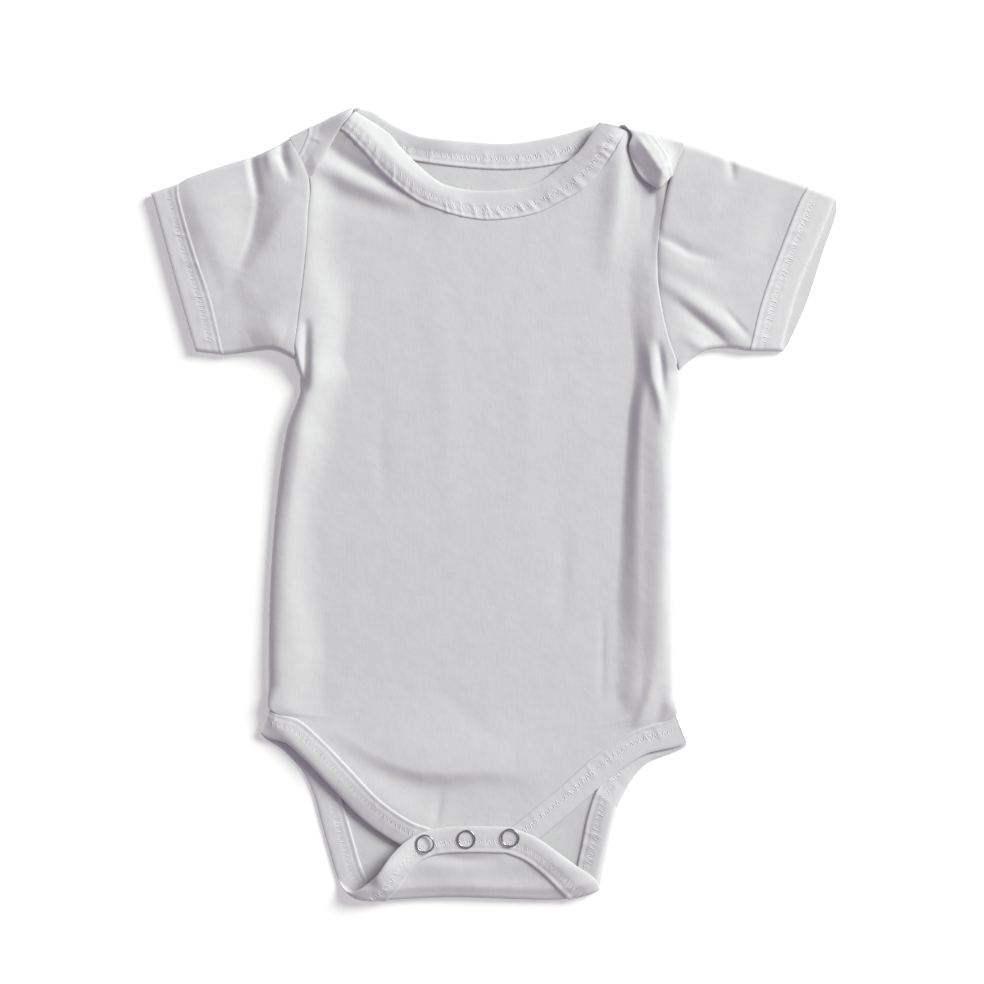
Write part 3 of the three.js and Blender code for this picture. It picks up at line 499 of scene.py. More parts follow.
def unfold(fold, point):
    """Where a point of a folded-over layer lies once its sheet is opened flat."""
    point = np.array(point, float)
    inside = -float(fold["beyond"](point[0], point[1]))
    return point + fold["outward"] * (2 * inside + math.pi * fold["bend"])


def lay_point(fold, bottom_at, points, rise, wall):
    """Lays flat points of a sheet; rise runs through its wall from outside to inside."""
    beyond = fold["beyond"](points[..., 0], points[..., 1])
    line = points - fold["outward"] * beyond[..., None]
    under = np.where((beyond <= 0)[..., None], points, line)
    low = wall / 2 + fold_height(UNDER_FOLDS, under[..., 0], under[..., 1])
    turn = np.clip(beyond / fold["bend"], 0, math.pi)
    back = np.maximum(beyond - math.pi * fold["bend"], 0)
    out = (fold["bend"] - rise) * np.sin(turn) - back
    over = line + fold["outward"] * out[..., None]
    high = bottom_at(over[..., 0], over[..., 1]) + wall / 2
    middle = (low + high) / 2
    height = middle - (middle - low - rise) * np.cos(turn)
    flat = beyond <= 0
    place = np.where(flat[..., None], points, over)
    return np.concatenate([place, np.where(flat, low + rise, height)[..., None]], axis=-1)


def lay_back(points, rise, wall):
    rise = np.broadcast_to(np.asarray(rise, float), points.shape[:-1])
    crotch = lay_point(CROTCH_FOLD, flap_bottom, points, rise, wall)
    left = lay_point(LEFT_FOLD, lap_bottom, points, rise, wall)
    right = lay_point(RIGHT_FOLD, lap_bottom, points, rise, wall)
    upper = np.where((points[..., 0] < 0)[..., None], left, right)
    return np.where((points[..., 1] < -150)[..., None], crotch, upper)


# Meshes
SHIFT = np.zeros(3)


def place_frame():
    """Where the frame puts the drawing's origin, read from a snap's place."""
    low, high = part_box("snap_ring_2")
    SHIFT[0] = (low.x + high.x) / 2 / MM - SNAP_PLACES[1][0]
    SHIFT[1] = (low.y + high.y) / 2 / MM - SNAP_PLACES[1][1]


def add_object(name, data):
    thing = bpy.data.objects.new(name, data)
    bpy.context.scene.collection.objects.link(thing)
    return thing


def mesh_piece(name, points, faces, material):
    mesh = bpy.data.meshes.new(name)
    spots = (np.asarray(points, float).reshape(-1, 3) + SHIFT) * MM
    mesh.from_pydata(spots.tolist(), [], faces)
    mesh.validate()
    mesh.update()
    mesh.polygons.foreach_set("use_smooth", np.ones(len(mesh.polygons), bool))
    mesh.materials.append(material)
    piece = add_object(name, mesh)
    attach(piece, "root")
    return piece


def grid_faces(rows, columns, start=0, round_it=False, flip=False):
    wide = columns if round_it else columns - 1
    row, column = np.meshgrid(np.arange(rows - 1), np.arange(wide), indexing="ij")
    after = (column + 1) % columns
    a = start + row * columns + column
    b = start + row * columns + after
    c = start + (row + 1) * columns + after
    d = start + (row + 1) * columns + column
    faces = np.stack([a, b, c, d] if not flip else [a, d, c, b], axis=-1)
    return faces.reshape(-1, 4)


def surface_normals(grid, round_it=False):
    if round_it:
        across = np.roll(grid, -1, axis=1) - np.roll(grid, 1, axis=1)
    else:
        across = np.gradient(grid, axis=1)
    along = np.gradient(grid, axis=0)
    normal = np.cross(across, along)
    return normal / np.maximum(np.linalg.norm(normal, axis=-1, keepdims=True), 1e-9)


def border(rows, columns, start):
    """The ring of border vertices of a grid, in order."""
    at = lambda row, column: start + row * columns + column
    ring = [at(0, c) for c in range(columns - 1)]
    ring += [at(r, columns - 1) for r in range(rows - 1)]
    ring += [at(rows - 1, c) for c in range(columns - 1, 0, -1)]
    ring += [at(r, 0) for r in range(rows - 1, 0, -1)]
    return ring


def shell_piece(name, outer, inner, material, up=True):
    """A closed thin shell. The inner grid has half the outer grid's steps each way."""
    rows, columns = outer.shape[:2]
    low_rows, low_columns = inner.shape[:2]
    start = rows * columns
    faces = grid_faces(rows, columns, flip=not up).tolist()
    faces += grid_faces(low_rows, low_columns, start, flip=up).tolist()
    fine = border(rows, columns, 0)
    coarse = border(low_rows, low_columns, start)
    for i, corner in enumerate(coarse):
        after = coarse[(i + 1) % len(coarse)]
        a, b, c = (fine[(2 * i + k) % len(fine)] for k in range(3))
        faces.append([c, b, a, corner, after] if up else [after, corner, a, b, c])
    points = np.concatenate([outer.reshape(-1, 3), inner.reshape(-1, 3)])
    return mesh_piece(name, points, faces, material)


def tube_piece(name, outer, inner, material):
    """A closed wall round a flattened tube, from an outer and an inner grid."""
    rows, columns = outer.shape[:2]
    start = rows * columns
    faces = grid_faces(rows, columns, round_it=True, flip=True).tolist()
    faces += grid_faces(rows, columns, start, round_it=True).tolist()
    for column in range(columns):
        after = (column + 1) % columns
        faces.append([column, start + column, start + after, after])
        last = (rows - 1) * columns
        faces.append([last + after, start + last + after, start + last + column, last + column])
    points = np.concatenate([outer.reshape(-1, 3), inner.reshape(-1, 3)])
    return mesh_piece(name, points, faces, material)


def ring_piece(name, rings, material):
    """A closed bar from a row of rings, with flat ends."""
    count, size = rings.shape[:2]
    faces = grid_faces(count, size, round_it=True).tolist()
    faces.append(list(range(size)))
    faces.append([(count - 1) * size + k for k in reversed(range(size))])
    return mesh_piece(name, rings, faces, material)


# Front and back
def table_at(rows, y):
    """The columns of a table of rows keyed by their first number, eased over its corners."""
    table = np.array(rows, float)
    take = lambda k, at: np.interp(at, table[:, 0], table[:, k])
    return [sum(take(k, y + ease) for ease in TABLE_EASING) / len(TABLE_EASING)
            for k in range(1, table.shape[1])]


def left_roll(from_edge, y):
    """Round outside its crest, then a fall that's steepest where it has fallen half way."""
    crest, half, end, rise = table_at(LEFT_ROLL, y)
    share = np.clip((from_edge - crest) / (end - crest), 0, 1)
    lean = (half - crest) / (end - crest)
    warped = share * (1 - lean) / (share * (1 - 2 * lean) + lean)
    return crest, rise * (0.5 + 0.5 * np.cos(np.pi * warped))


def right_roll(from_edge, y):
    """Round outside its crest, then a gentle fall and a steep one that ends in a crease."""
    crest, gentle_end, steep_start, foot, gentle, steep = table_at(RIGHT_ROLL, y)
    fall = gentle * smooth_step(crest, gentle_end, from_edge)
    share = np.clip((from_edge - steep_start) / (foot - steep_start), 0, 1)
    fall += steep * (0.5 - 0.5 * np.cos(np.pi * share ** 1.15))
    return crest, gentle + steep - fall


def front_sheet(counts, across):
    sheet = panel_sheet(FRONT_ROWS, FRONT_TOP)
    stops = [0, sheet["stops"][FRONT_LEG_END], sheet["stops"][FRONT_ARMPIT], 1]
    sheet["shares"] = stepped_shares(stops, counts)
    sheet["columns"] = crowded_shares(across)
    sheet["leg_rows"] = counts[0]
    return sheet


def front_heights(sheet, v, x, y):
    """The top face of the front panel over its plan points."""
    leg_end = sheet["stops"][FRONT_LEG_END]
    armpit = sheet["stops"][FRONT_ARMPIT]
    from_left = np.maximum(x - sheet["left"](v)[..., 0], 0)
    from_right = np.maximum(sheet["right"](v)[..., 0] - x, 0)
    above_leg = smooth_step(leg_end - 0.05, leg_end + 0.06, v)
    on_side = (smooth_step(leg_end, leg_end + 0.03, v)
               * (1 - smooth_step(armpit - 0.01, armpit + 0.02, v)))
    crest_left, left = left_roll(from_left, y)
    crest_right, right = right_roll(from_right, y)
    flat = FRONT_FLOOR + CLOTH_WALL + FRONT_REST
    full = flat + above_leg * (left + right) + fold_height(BODY_FOLDS, x, y)
    full += fold_height(NECK_FOLDS + LEG_FOLDS, x, y)
    top = np.maximum(full, FRONT_FLOOR + CLOTH_WALL * 0.6)
    near_left = from_left < from_right
    from_edge = np.where(near_left, from_left, from_right)
    crest = np.where(near_left, crest_left, crest_right)
    reach = mix(SEAM_ROUND, np.maximum(crest, SEAM_ROUND), on_side)
    edge = np.sqrt(1 - (1 - np.clip(from_edge / reach, 0, 1)) ** 2)
    low = mix(top - SEAM_DIP, np.minimum(SEAM_EDGE_TOP, top), on_side)
    on_leg = 1 - smooth_step(leg_end - 0.02, leg_end, v)
    return mix(top, mix(low, top, edge), 1 - on_leg)


def front_panel(material):
    sheet = front_sheet([84, 140, 96], 236)
    u, v = np.meshgrid(sheet["columns"], sheet["shares"])
    plan = sheet["point"](u, v)
    z = front_heights(sheet, v, plan[..., 0], plan[..., 1])
    outer = np.concatenate([plan, z[..., None]], axis=-1)
    normals = surface_normals(outer)
    inner = (outer - normals * CLOTH_WALL)[::2, ::2].copy()
    inner[..., 2] = np.maximum(inner[..., 2], FRONT_FLOOR)
    return shell_piece("front_cloth", outer, inner, material)


def back_sheet(counts, across):
    flap = [{side: unfold(CROTCH_FOLD, row[side]).tolist() for side in ("left", "right")}
            for row in FLAP_ROWS]
    neck = flat_neck_rows()
    laps = [{"left": neck["seam"][0], "right": neck["seam"][-1]}]
    sheet = panel_sheet([*flap, *BACK_ROWS, *laps], neck["seam"], neck["stops"])
    first = len(flap)
    stop_rows = [0, first - 1, first, first + BACK_LEG_END, first + BACK_ARMPIT,
                 first + len(BACK_ROWS) - 1, first + len(BACK_ROWS)]
    sheet["shares"] = stepped_shares([sheet["stops"][row] for row in stop_rows], counts)
    sheet["columns"] = crowded_shares(across)
    sheet["leg_rows"] = sum(counts[:3])
    return sheet


def flat_neck_rows():
    flat = lambda over, at: unfold(FOLDS[over], at).tolist() if over else at
    seam = [flat(*row["seam"]) for row in BACK_NECK_ROWS]
    edge = [flat(*row["edge"]) for row in BACK_NECK_ROWS]
    stops = (length_stops(seam) + length_stops(edge)) / 2
    return {"seam": seam, "edge": edge, "stops": stops}


def back_panel(material):
    sheet = back_sheet([24, 20, 44, 50, 50, 36], 150)
    u, v = np.meshgrid(sheet["columns"], sheet["shares"])
    plan = sheet["point"](u, v)
    on_laps = smooth_step(LAP_SEAM_START, 1, v)
    on_laps = on_laps * smooth_step(*LAP_SEAM_SIDE, np.abs(plan[..., 0]))
    wall = mix(CLOTH_WALL, LAP_SEAM_WALL, on_laps)
    lower = lay_back(plan, -wall / 2, wall)
    upper = lay_back(plan, wall / 2, wall)
    return shell_piece("back_cloth", lower, upper[::2, ::2], material, up=False)


# Bands
def lower_seam(sheet, across_step):
    rows = sheet["shares"][: sheet["leg_rows"] + 1]
    across = sheet["columns"][across_step:-1:across_step]
    return np.concatenate([
        sheet["point"](0, rows)[::-1],
        sheet["point"](across, 0),
        sheet["point"](1, rows),
    ])


def leg_band_edge(seam):
    """The free edge beside an evenly stepped seam, turned smoothly at the seam's corners."""
    run = np.gradient(seam, axis=0)
    run /= np.linalg.norm(run, axis=1, keepdims=True)
    reach = np.arange(-24, 25)
    weights = np.exp(-((reach / 9) ** 2))
    padded = np.pad(run, ((24, 24), (0, 0)), mode="edge")
    smooth = np.stack([np.convolve(padded[:, k], weights, mode="valid") for k in (0, 1)], axis=1)
    smooth /= np.linalg.norm(smooth, axis=1, keepdims=True)
    edge = seam + LEG_BAND_WIDTH * np.stack([smooth[:, 1], -smooth[:, 0]], axis=1)
    blend = 30
    for k in range(blend):
        share = (1 - k / blend) ** 2
        edge[k] = mix(edge[k], seam[k] + LEG_BAND_ENDS["left"], share)
        edge[-1 - k] = mix(edge[-1 - k], seam[-1 - k] + LEG_BAND_ENDS["right"], share)
    return edge


def even_steps(points, step):
    """Points set evenly along a path."""
    stops = length_stops(points)
    length = np.sum(np.linalg.norm(np.diff(points, axis=0), axis=1))
    shares = np.linspace(0, 1, int(length / step) + 1)
    return np.stack([np.interp(shares, stops, points[:, k]) for k in (0, 1)], axis=1)


def even_pairs(seam, edge, count):
    """Resamples a seam and the free edge beside it at the same even shares."""
    stops = (length_stops(seam) + length_stops(edge)) / 2
    shares = np.linspace(0, 1, count + 1)
    take = lambda points: np.stack([np.interp(shares, stops, points[:, k]) for k in (0, 1)], 1)
    return take(seam), take(edge)


def band_relief(distance, width, wall):
    """The rise of a band's face across its width: a seam bead, stitch grooves, a soft rim."""
    ridge = lambda rise, at, reach: rise * np.exp(-(((distance - at) / reach) ** 2))
    bead = ridge(*SEAM_BEAD)
    grooves = sum(ridge(*groove) for groove in STITCH_GROOVES)
    seam_side = np.clip((distance + BAND_LIP) / 0.7, 0, 1)
    rim_side = np.clip((width - distance) / BAND_RIM, 0, 1)
    drop = 1 - np.sqrt(1 - (1 - seam_side) ** 2) + 0.8 * (1 - np.sqrt(1 - (1 - rim_side) ** 2))
    return bead - grooves - drop * wall / 2


def make_puckers(length, pitch, seed):
    """Uneven crosswise puckers of a stitched band: place, reach, size, lean and both ends."""
    random = np.random.default_rng(seed)
    count = int(length / pitch)
    rows = []
    for k in range(count):
        rows.append([
            (k + random.uniform(0.1, 0.9)) * pitch,
            random.uniform(0.8, 2.0),
            random.uniform(-0.35, 1.0),
            random.uniform(-0.25, 0.25),
            random.uniform(-1, 3),
            random.uniform(5.5, 8.5),
        ])
    return rows


def pucker_height(rows, along, across):
    """The summed height of puckers at distances along and across a band."""
    height = np.zeros(np.broadcast(along, across).shape)
    for centre, reach, size, lean, low, high in rows:
        inside = smooth_step(low - 1.5, low + 1, across) * (1 - smooth_step(high - 1.5, high + 1.5,
                                                                            across))
        offset = (along - centre - lean * across) / reach
        height += size * inside * np.exp(-(offset ** 2))
    return height


def band_surface(seam, edge, lay, wall, amount, pitch, seed):
    """A band's faces: a place for a share along, a distance from the seam and a side."""
    widths = np.linalg.norm(edge - seam, axis=1)
    mean_width = float(widths.mean())
    middle = (seam + edge) / 2
    runs = np.concatenate([[0], np.cumsum(np.linalg.norm(np.diff(middle, axis=0), axis=1))])
    puckers = make_puckers(runs[-1], pitch, seed)
    shares = np.linspace(0, 1, len(seam))
    take = lambda values, share: np.interp(share, shares, values)

    def at(share, distance, side, lift=0.0):
        share, distance, side = np.broadcast_arrays(share, distance, side)
        width = take(widths, share)
        here = np.stack([take(seam[:, k], share) for k in (0, 1)], axis=-1)
        there = np.stack([take(edge[:, k], share) for k in (0, 1)], axis=-1)
        reach = np.where(distance > 0, distance * width / mean_width, distance)
        reach = np.minimum(reach, width)
        plan = mix(here, there, (reach / width)[..., None])
        bumps = amount * pucker_height(puckers, take(runs, share), reach)
        rise = wall / 2 + band_relief(reach, width, wall) + bumps + lift
        place = lay(plan, side * rise, wall)
        place[..., 2] = np.maximum(place[..., 2], 0)
        return place

    return at, runs[-1], mean_width


BAND_STEPS = [-0.5, -0.42, -0.25, 0.05, 0.35, 0.7, 1.1, 1.6, 2.2, 2.8, 3.4, 4.1, 4.8, 5.4, 6.0, 6.6,
              7.2, 8.0, 8.8, 9.6]


def band_piece(name, seam, edge, lay, material, seed, count, amount=0.2, pitch=3.2):
    """A doubled band that laps a little over its seam; also its surface and its length."""
    at, length, width = band_surface(seam, edge, lay, BAND_WALL, amount, pitch, seed)
    rim = [width - BAND_RIM * (1 - t) for t in (0.0, 0.35, 0.6, 0.78, 0.9, 0.97, 1.0)]
    steps = [d for d in BAND_STEPS if d < rim[0] - 0.3] + rim
    distances = np.array(steps + steps[::-1])
    sides = np.array([1.0] * len(steps) + [-1.0] * len(steps))
    share = np.linspace(0, 1, count + 1)[:, None]
    rings = at(share, distances[None, :], sides[None, :])
    band = ring_piece(name, rings, material)
    return band, at, length


def stitch_lines(at, length, side, seed):
    """The centre lines of the one zigzag row of stitches on a band's face."""
    random = np.random.default_rng(seed)
    lines = []
    count = int((length - 2 * STITCH_MARGIN) / STITCH_PITCH)
    step = STITCH_PITCH / length
    spots = (STITCH_MARGIN + np.arange(count) * STITCH_PITCH) / length
    for k in range(count - 1):
        shares = spots[k] + (np.array([0, 0.3, 0.7, 1]) + random.uniform(-0.15, 0.15)) * step
        swing = random.uniform(0.8, 1.9) * (1 if k % 2 else -1)
        across = STITCH_LINE + random.uniform(-0.4, 0.4) + swing * np.array([-1, -0.6, 0.6, 1])
        lift = np.array([-0.18, 0.02, 0.02, -0.18]) + random.uniform(-0.06, 0.05)
        lines.append(at(shares, across, side, lift))
    return lines


def thread_piece(name, lines, material):
    """Short lengths of thread as closed bars along their centre lines."""
    sides = THREAD_SIDES
    turn = np.linspace(0, 2 * np.pi, sides, endpoint=False)
    points, faces = [], []
    for line in lines:
        run = np.gradient(line, axis=0)
        run /= np.maximum(np.linalg.norm(run, axis=1, keepdims=True), 1e-9)
        beside = np.cross(run, [0, 0, 1])
        beside /= np.maximum(np.linalg.norm(beside, axis=1, keepdims=True), 1e-9)
        above = np.cross(beside, run)
        start = len(points)
        for place, a, b in zip(line, beside, above):
            for t in turn:
                points.append(place + THREAD_RADIUS * (math.cos(t) * a + math.sin(t) * b))
        faces += grid_faces(len(line), sides, start, round_it=True).tolist()
        faces.append([start + k for k in range(sides)])
        last = start + (len(line) - 1) * sides
        faces.append([last + k for k in reversed(range(sides))])
    points = np.array(points)
    points[:, 2] = np.maximum(points[:, 2], 0)
    return mesh_piece(name, points, faces, material)


def lay_on_front(points, rise, wall):
    rise = np.broadcast_to(rise, points.shape[:-1])
    x, y = points[..., 0], points[..., 1]
    floor = FRONT_FLOOR + fold_height(NECK_FOLDS + LEG_FOLDS, x, y)
    return np.concatenate([points, (floor + wall / 2 + rise)[..., None]], axis=-1)


def leg_bindings(material, thread):
    seam = even_steps(lower_seam(front_sheet([40, 8, 8], 60), 1), 0.8)
    seam, edge = even_pairs(seam, leg_band_edge(seam), 600)
    front, at, length = band_piece("front_leg_band", seam, edge, lay_on_front, material, 11, 560)
    front_stitches = thread_piece("front_leg_stitches", stitch_lines(at, length, 1, 41), thread)
    seam = even_steps(lower_seam(back_sheet([28, 20, 48, 4, 4, 4], 60), 1), 0.8)
    seam, edge = even_pairs(seam, leg_band_edge(seam), 900)
    back, at, length = band_piece("back_leg_band", seam, edge, lay_back, material, 12, 860)
    lines = stitch_lines(at, length, 1, 42) + stitch_lines(at, length, -1, 43)
    back_stitches = thread_piece("back_leg_stitches", lines, thread)
    return (front, front_stitches), (back, back_stitches)


def neckbands(material, thread):
    sheet = front_sheet([2, 2, 2], 400)
    top = sheet["point"](sheet["columns"], 1.0)
    keep = (top[:, 0] > FRONT_NECK_ENDS["left"]) & (top[:, 0] < FRONT_NECK_ENDS["right"])
    seam = top[keep]
    edge = smooth_path(FRONT_NECK_EDGE)(length_stops(seam))
    seam, edge = even_pairs(seam, edge, 400)
    front, at, length = band_piece("front_neck_band", seam, edge, lay_on_front, material, 21, 460,
                                   amount=0.5, pitch=3.6)
    front_stitches = thread_piece("front_neck_stitches", stitch_lines(at, length, 1, 44), thread)
    neck = flat_neck_rows()
    shares = np.linspace(0, 1, 401)
    seam = smooth_path(neck["seam"], neck["stops"])(shares)
    edge = smooth_path(neck["edge"], neck["stops"])(shares)
    back, at, length = band_piece("back_neck_band", seam, edge, lay_back, material, 22, 560,
                                  amount=0.35, pitch=3.6)
    back_stitches = thread_piece("back_neck_stitches", stitch_lines(at, length, 1, 45), thread)
    return (front, front_stitches), (back, back_stitches)


# Sleeves
def patch_place(start, end, under, over):
    paths = [smooth_path(points) for points in (start, end, under, over)]
    corners = [np.array(points, float) for points in (start[0], end[0], start[-1], end[-1])]

    def place(along, across):
        along, across = np.broadcast_arrays(along, across)
        a, s = across[..., None], along[..., None]
        sides = mix(paths[2](along), paths[3](along), a)
        ends = mix(paths[0](across), paths[1](across), s)
        flat = mix(mix(corners[0], corners[1], s), mix(corners[2], corners[3], s), a)
        return sides + ends - flat

    return place


def tube_shares(count):
    turn = np.linspace(0, np.pi / 2, 7)
    edge = TUBE_ROLL * (1 - np.cos(turn)) / TUBE_WIDTH
    inside = np.linspace(edge[-1], 1 - edge[-1], count)[1:-1]
    return np.concatenate([edge, inside, (1 - edge)[::-1]])


def flat_tube(place, height_at, wall, along, across_count):
    """The outer and inner grids of a flattened tube's wall."""
    shares = tube_shares(across_count)
    across = np.concatenate([shares, shares[1:-1][::-1]])
    is_front = np.arange(len(across)) < len(shares)
    s, a = np.meshgrid(along, across, indexing="ij")
    top = np.broadcast_to(is_front, s.shape)
    from_edge = np.minimum(a, 1 - a) * TUBE_WIDTH
    share = np.sqrt(1 - (1 - np.clip(from_edge / TUBE_ROLL, 0, 1)) ** 2)
    grids = []
    for inset in (0.0, wall):
        narrow = inset / TUBE_WIDTH
        plan = place(s, mix(narrow, 1 - narrow, a), top)
        height = height_at(s, plan[..., 0], plan[..., 1])
        middle = height / 2
        z = np.where(top, middle + share * (middle - inset), middle - share * (middle - inset))
        grids.append(np.concatenate([plan, z[..., None]], axis=-1))
    return grids


def sleeve_piece(name, shape, folds, seam_rows, material):
    """A sleeve of two layers, with a table's heights at its armhole and a dip at that seam."""
    towards_body = -0.9 * np.sign(shape["armhole"][0][0])
    armhole = [[x + towards_body, y] for x, y in shape["armhole"]]
    under = [armhole[0], *shape["under"][1:]]
    over = [armhole[-1], *shape["over"][1:]]
    patch = patch_place(armhole, shape["seam"], under, over)
    place = lambda s, a, top: patch(s, a)

    def height_at(s, x, y):
        seam = table_at(seam_rows, y)[0]
        full = mix(seam + SLEEVE_SEAM_LIFT, SLEEVE_HEIGHT, smooth_step(0.1, 0.8, s))
        full = np.maximum(full + fold_height(folds, x, y), 2.4)
        from_seam = np.clip(s * SLEEVE_LENGTH / SLEEVE_SEAM_ROUND, 0, 1)
        return mix(np.minimum(seam, full), full, np.sqrt(1 - (1 - from_seam) ** 2))

    outer, inner = flat_tube(place, height_at, CLOTH_WALL, sleeve_shares(), 130)
    return tube_piece(name, outer, inner, material)


def sleeve_shares():
    near = np.array([0, 0.1, 0.25, 0.5, 0.8, 1.2, 1.7, 2.2]) / SLEEVE_LENGTH
    return np.concatenate([near, np.linspace(3 / SLEEVE_LENGTH, 1, 80)])


def cuff_piece(name, shape, folds, tilt, material, thread, seed):
    """A doubled cuff round a sleeve's end, and the stitches on its upper face."""
    away = np.array([np.sign(shape["seam"][0][0]) * 0.4, 0.0])
    seam = [(np.array(point) - away).tolist() for point in shape["seam"]]
    patches = {}
    for layer in ("front_edge", "back_edge"):
        edge = shape[layer]
        patches[layer] = patch_place(seam, edge, [seam[0], edge[0]], [seam[-1], edge[-1]])
    puckers = make_puckers(CUFF_LENGTH, 3.2, seed)

    def place(s, a, top):
        front, back = patches["front_edge"](s, a), patches["back_edge"](s, a)
        own = smooth_step(0, 0.05, np.minimum(a, 1 - a))[..., None]
        return mix((front + back) / 2, np.where(top[..., None], front, back), own)

    def height_at(s, x, y):
        across = s * CUFF_WIDTH - BAND_LIP
        bumps = 0.22 * pucker_height(puckers, y - 60, across)
        level = CUFF_HEIGHT + 1.0 + tilt * s
        level = level + (1 - smooth_step(0, 0.9, s)) * fold_height(folds, x, y)
        return level + band_relief(across, CUFF_WIDTH - BAND_LIP, BAND_WALL) + bumps

    shares = np.array([0, 0.008, 0.02, 0.04, *np.linspace(0.065, 0.84, 24),
                       0.88, 0.915, 0.945, 0.97, 0.985, 0.995, 1])
    outer, inner = flat_tube(place, height_at, BAND_WALL, shares, 130)

    def at(share, across, side, lift):
        s = np.broadcast_to((across + BAND_LIP) / CUFF_WIDTH, share.shape)
        a = mix(0.03, 0.97, share)
        flat = place(s, a, np.full(share.shape, side > 0))
        height = height_at(s, flat[..., 0], flat[..., 1]) + lift
        z = np.where(side > 0, height, 0.05)
        return np.concatenate([flat, z[..., None]], axis=-1)

    stitches = thread_piece(name.replace("band", "stitches"),
                            stitch_lines(at, CUFF_LENGTH, 1, seed + 20), thread)
    return tube_piece(name, outer, inner, material), stitches


# Snaps
def turned_ring(name, centre, outline, bottom, material):
    """A ring turned from an outline of radii and heights, a little out of round."""
    sides = SNAP_RING_SIDES
    angle = np.linspace(0, 2 * np.pi, sides, endpoint=False)[:, None]
    radius, height = np.array(outline).T
    wobble = 1 + 0.012 * np.sin(3 * angle + centre[0])
    rings = np.stack([
        centre[0] + radius * wobble * np.cos(angle),
        centre[1] + radius * wobble * np.sin(angle),
        bottom + height + 0 * angle,
    ], axis=-1)
    size = len(outline)
    faces = []
    for i in range(sides):
        here, there = i * size, ((i + 1) % sides) * size
        for k in range(size):
            after = (k + 1) % size
            faces.append([here + k, there + k, there + after, here + after])
    return mesh_piece(name, rings, faces, material)


def snap_rings(material):
    turn = np.linspace(0, 2 * np.pi, 14, endpoint=False)
    outline = [(SNAP_RING_RADIUS + SNAP_WIRE_REACH * math.cos(t),
                SNAP_WIRE_RISE + SNAP_WIRE_RISE * math.sin(t)) for t in turn]
    around = np.array([(SNAP_SEAT_RADIUS * math.cos(t), SNAP_SEAT_RADIUS * math.sin(t))
                       for t in turn])
    for i, centre in enumerate(SNAP_PLACES, 1):
        x, y = (around + centre).T
        bottom = float(np.max(flap_bottom(x, y))) + BAND_WALL + SNAP_LIFT
        ring = turned_ring(f"snap_prong_ring_{i}", centre, outline, bottom, material)
        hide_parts(f"snap_ring_{i}")


# Materials
def node_tree(name):
    material = bpy.data.materials.new(name)
    material.use_nodes = True
    tree = material.node_tree
    shader = next(node for node in tree.nodes if node.type == "BSDF_PRINCIPLED")
    return material, tree, shader


def jersey_material(name, colour, wale_scale, wale_strength):
    """White knit cotton: fine lengthwise wales, a soft nap and a faint uneven tone."""
    material, tree, shader = node_tree(name)
    add = lambda kind: tree.nodes.new(kind)
    link = tree.links.new
    spots = add("ShaderNodeTexCoord")
    stretch = add("ShaderNodeMapping")
    stretch.inputs["Scale"].default_value = wale_scale
    link(spots.outputs["Object"], stretch.inputs["Vector"])

    def noise_at(vector, scale, detail):
        noise = add("ShaderNodeTexNoise")
        noise.inputs["Scale"].default_value = scale
        noise.inputs["Detail"].default_value = detail
        link(vector, noise.inputs["Vector"])
        return noise

    wales = noise_at(stretch.outputs["Vector"], 1.0, 3.0)
    nap = noise_at(spots.outputs["Object"], 1100.0, 2.0)
    slack = noise_at(spots.outputs["Object"], 120.0, 3.0)
    normal = None
    for noise, strength, distance in ((slack, 0.22, 0.0012), (wales, wale_strength, 0.0004),
                                      (nap, 0.16, 0.0002)):
        bump = add("ShaderNodeBump")
        bump.inputs["Strength"].default_value = strength
        bump.inputs["Distance"].default_value = distance
        link(noise.outputs["Fac"], bump.inputs["Height"])
        if normal:
            link(normal, bump.inputs["Normal"])
        normal = bump.outputs["Normal"]
    link(normal, shader.inputs["Normal"])
    tone = add("ShaderNodeValToRGB")
    tone.color_ramp.elements[0].color = (*[c * 0.965 for c in colour], 1)
    tone.color_ramp.elements[1].color = (*colour, 1)
    tone.color_ramp.elements[0].position = 0.3
    tone.color_ramp.elements[1].position = 0.65
    link(slack.outputs["Fac"], tone.inputs["Fac"])
    link(tone.outputs["Color"], shader.inputs["Base Color"])
    shader.inputs["Roughness"].default_value = 0.92
    shader.inputs["Sheen Weight"].default_value = 0.12
    shader.inputs["Sheen Roughness"].default_value = 0.6
    shader.inputs["Specular IOR Level"].default_value = 0.2
    return material


def speckled_material(name, scale, dark, light, roughness):
    """A material whose colour drifts between two tones."""
    material, tree, shader = node_tree(name)
    noise = tree.nodes.new("ShaderNodeTexNoise")
    noise.inputs["Scale"].default_value = scale
    tone = tree.nodes.new("ShaderNodeValToRGB")
    tone.color_ramp.elements[0].color = (*dark, 1)
    tone.color_ramp.elements[1].color = (*light, 1)
    tree.links.new(noise.outputs["Fac"], tone.inputs["Fac"])
    tree.links.new(tone.outputs["Color"], shader.inputs["Base Color"])
    shader.inputs["Roughness"].default_value = roughness
    return material, shader


def thread_material():
    material, _ = speckled_material("thread", 1600.0, (0.80, 0.80, 0.81), (0.90, 0.90, 0.90), 0.7)
    return material


def chrome_material():
    material, shader = speckled_material("snap_metal", 900.0, (0.30, 0.30, 0.32),
                                         (0.50, 0.50, 0.52), 0.28)
    shader.inputs["Metallic"].default_value = 1.0
    return material


def floor_material():
    material, _, shader = node_tree("floor")
    shader.inputs["Base Color"].default_value = (0.945, 0.97, 0.93, 1)
    shader.inputs["Roughness"].default_value = 1.0
    shader.inputs["Emission Color"].default_value = (0.98, 1.0, 0.96, 1)
    shader.inputs["Emission Strength"].default_value = 0.25
    return material


# Stage
FRAME_WIDTH = 501.8
FRAME_CENTRE = [-1.3, 5.4]
LENS = 90.0
SENSOR = 36.0


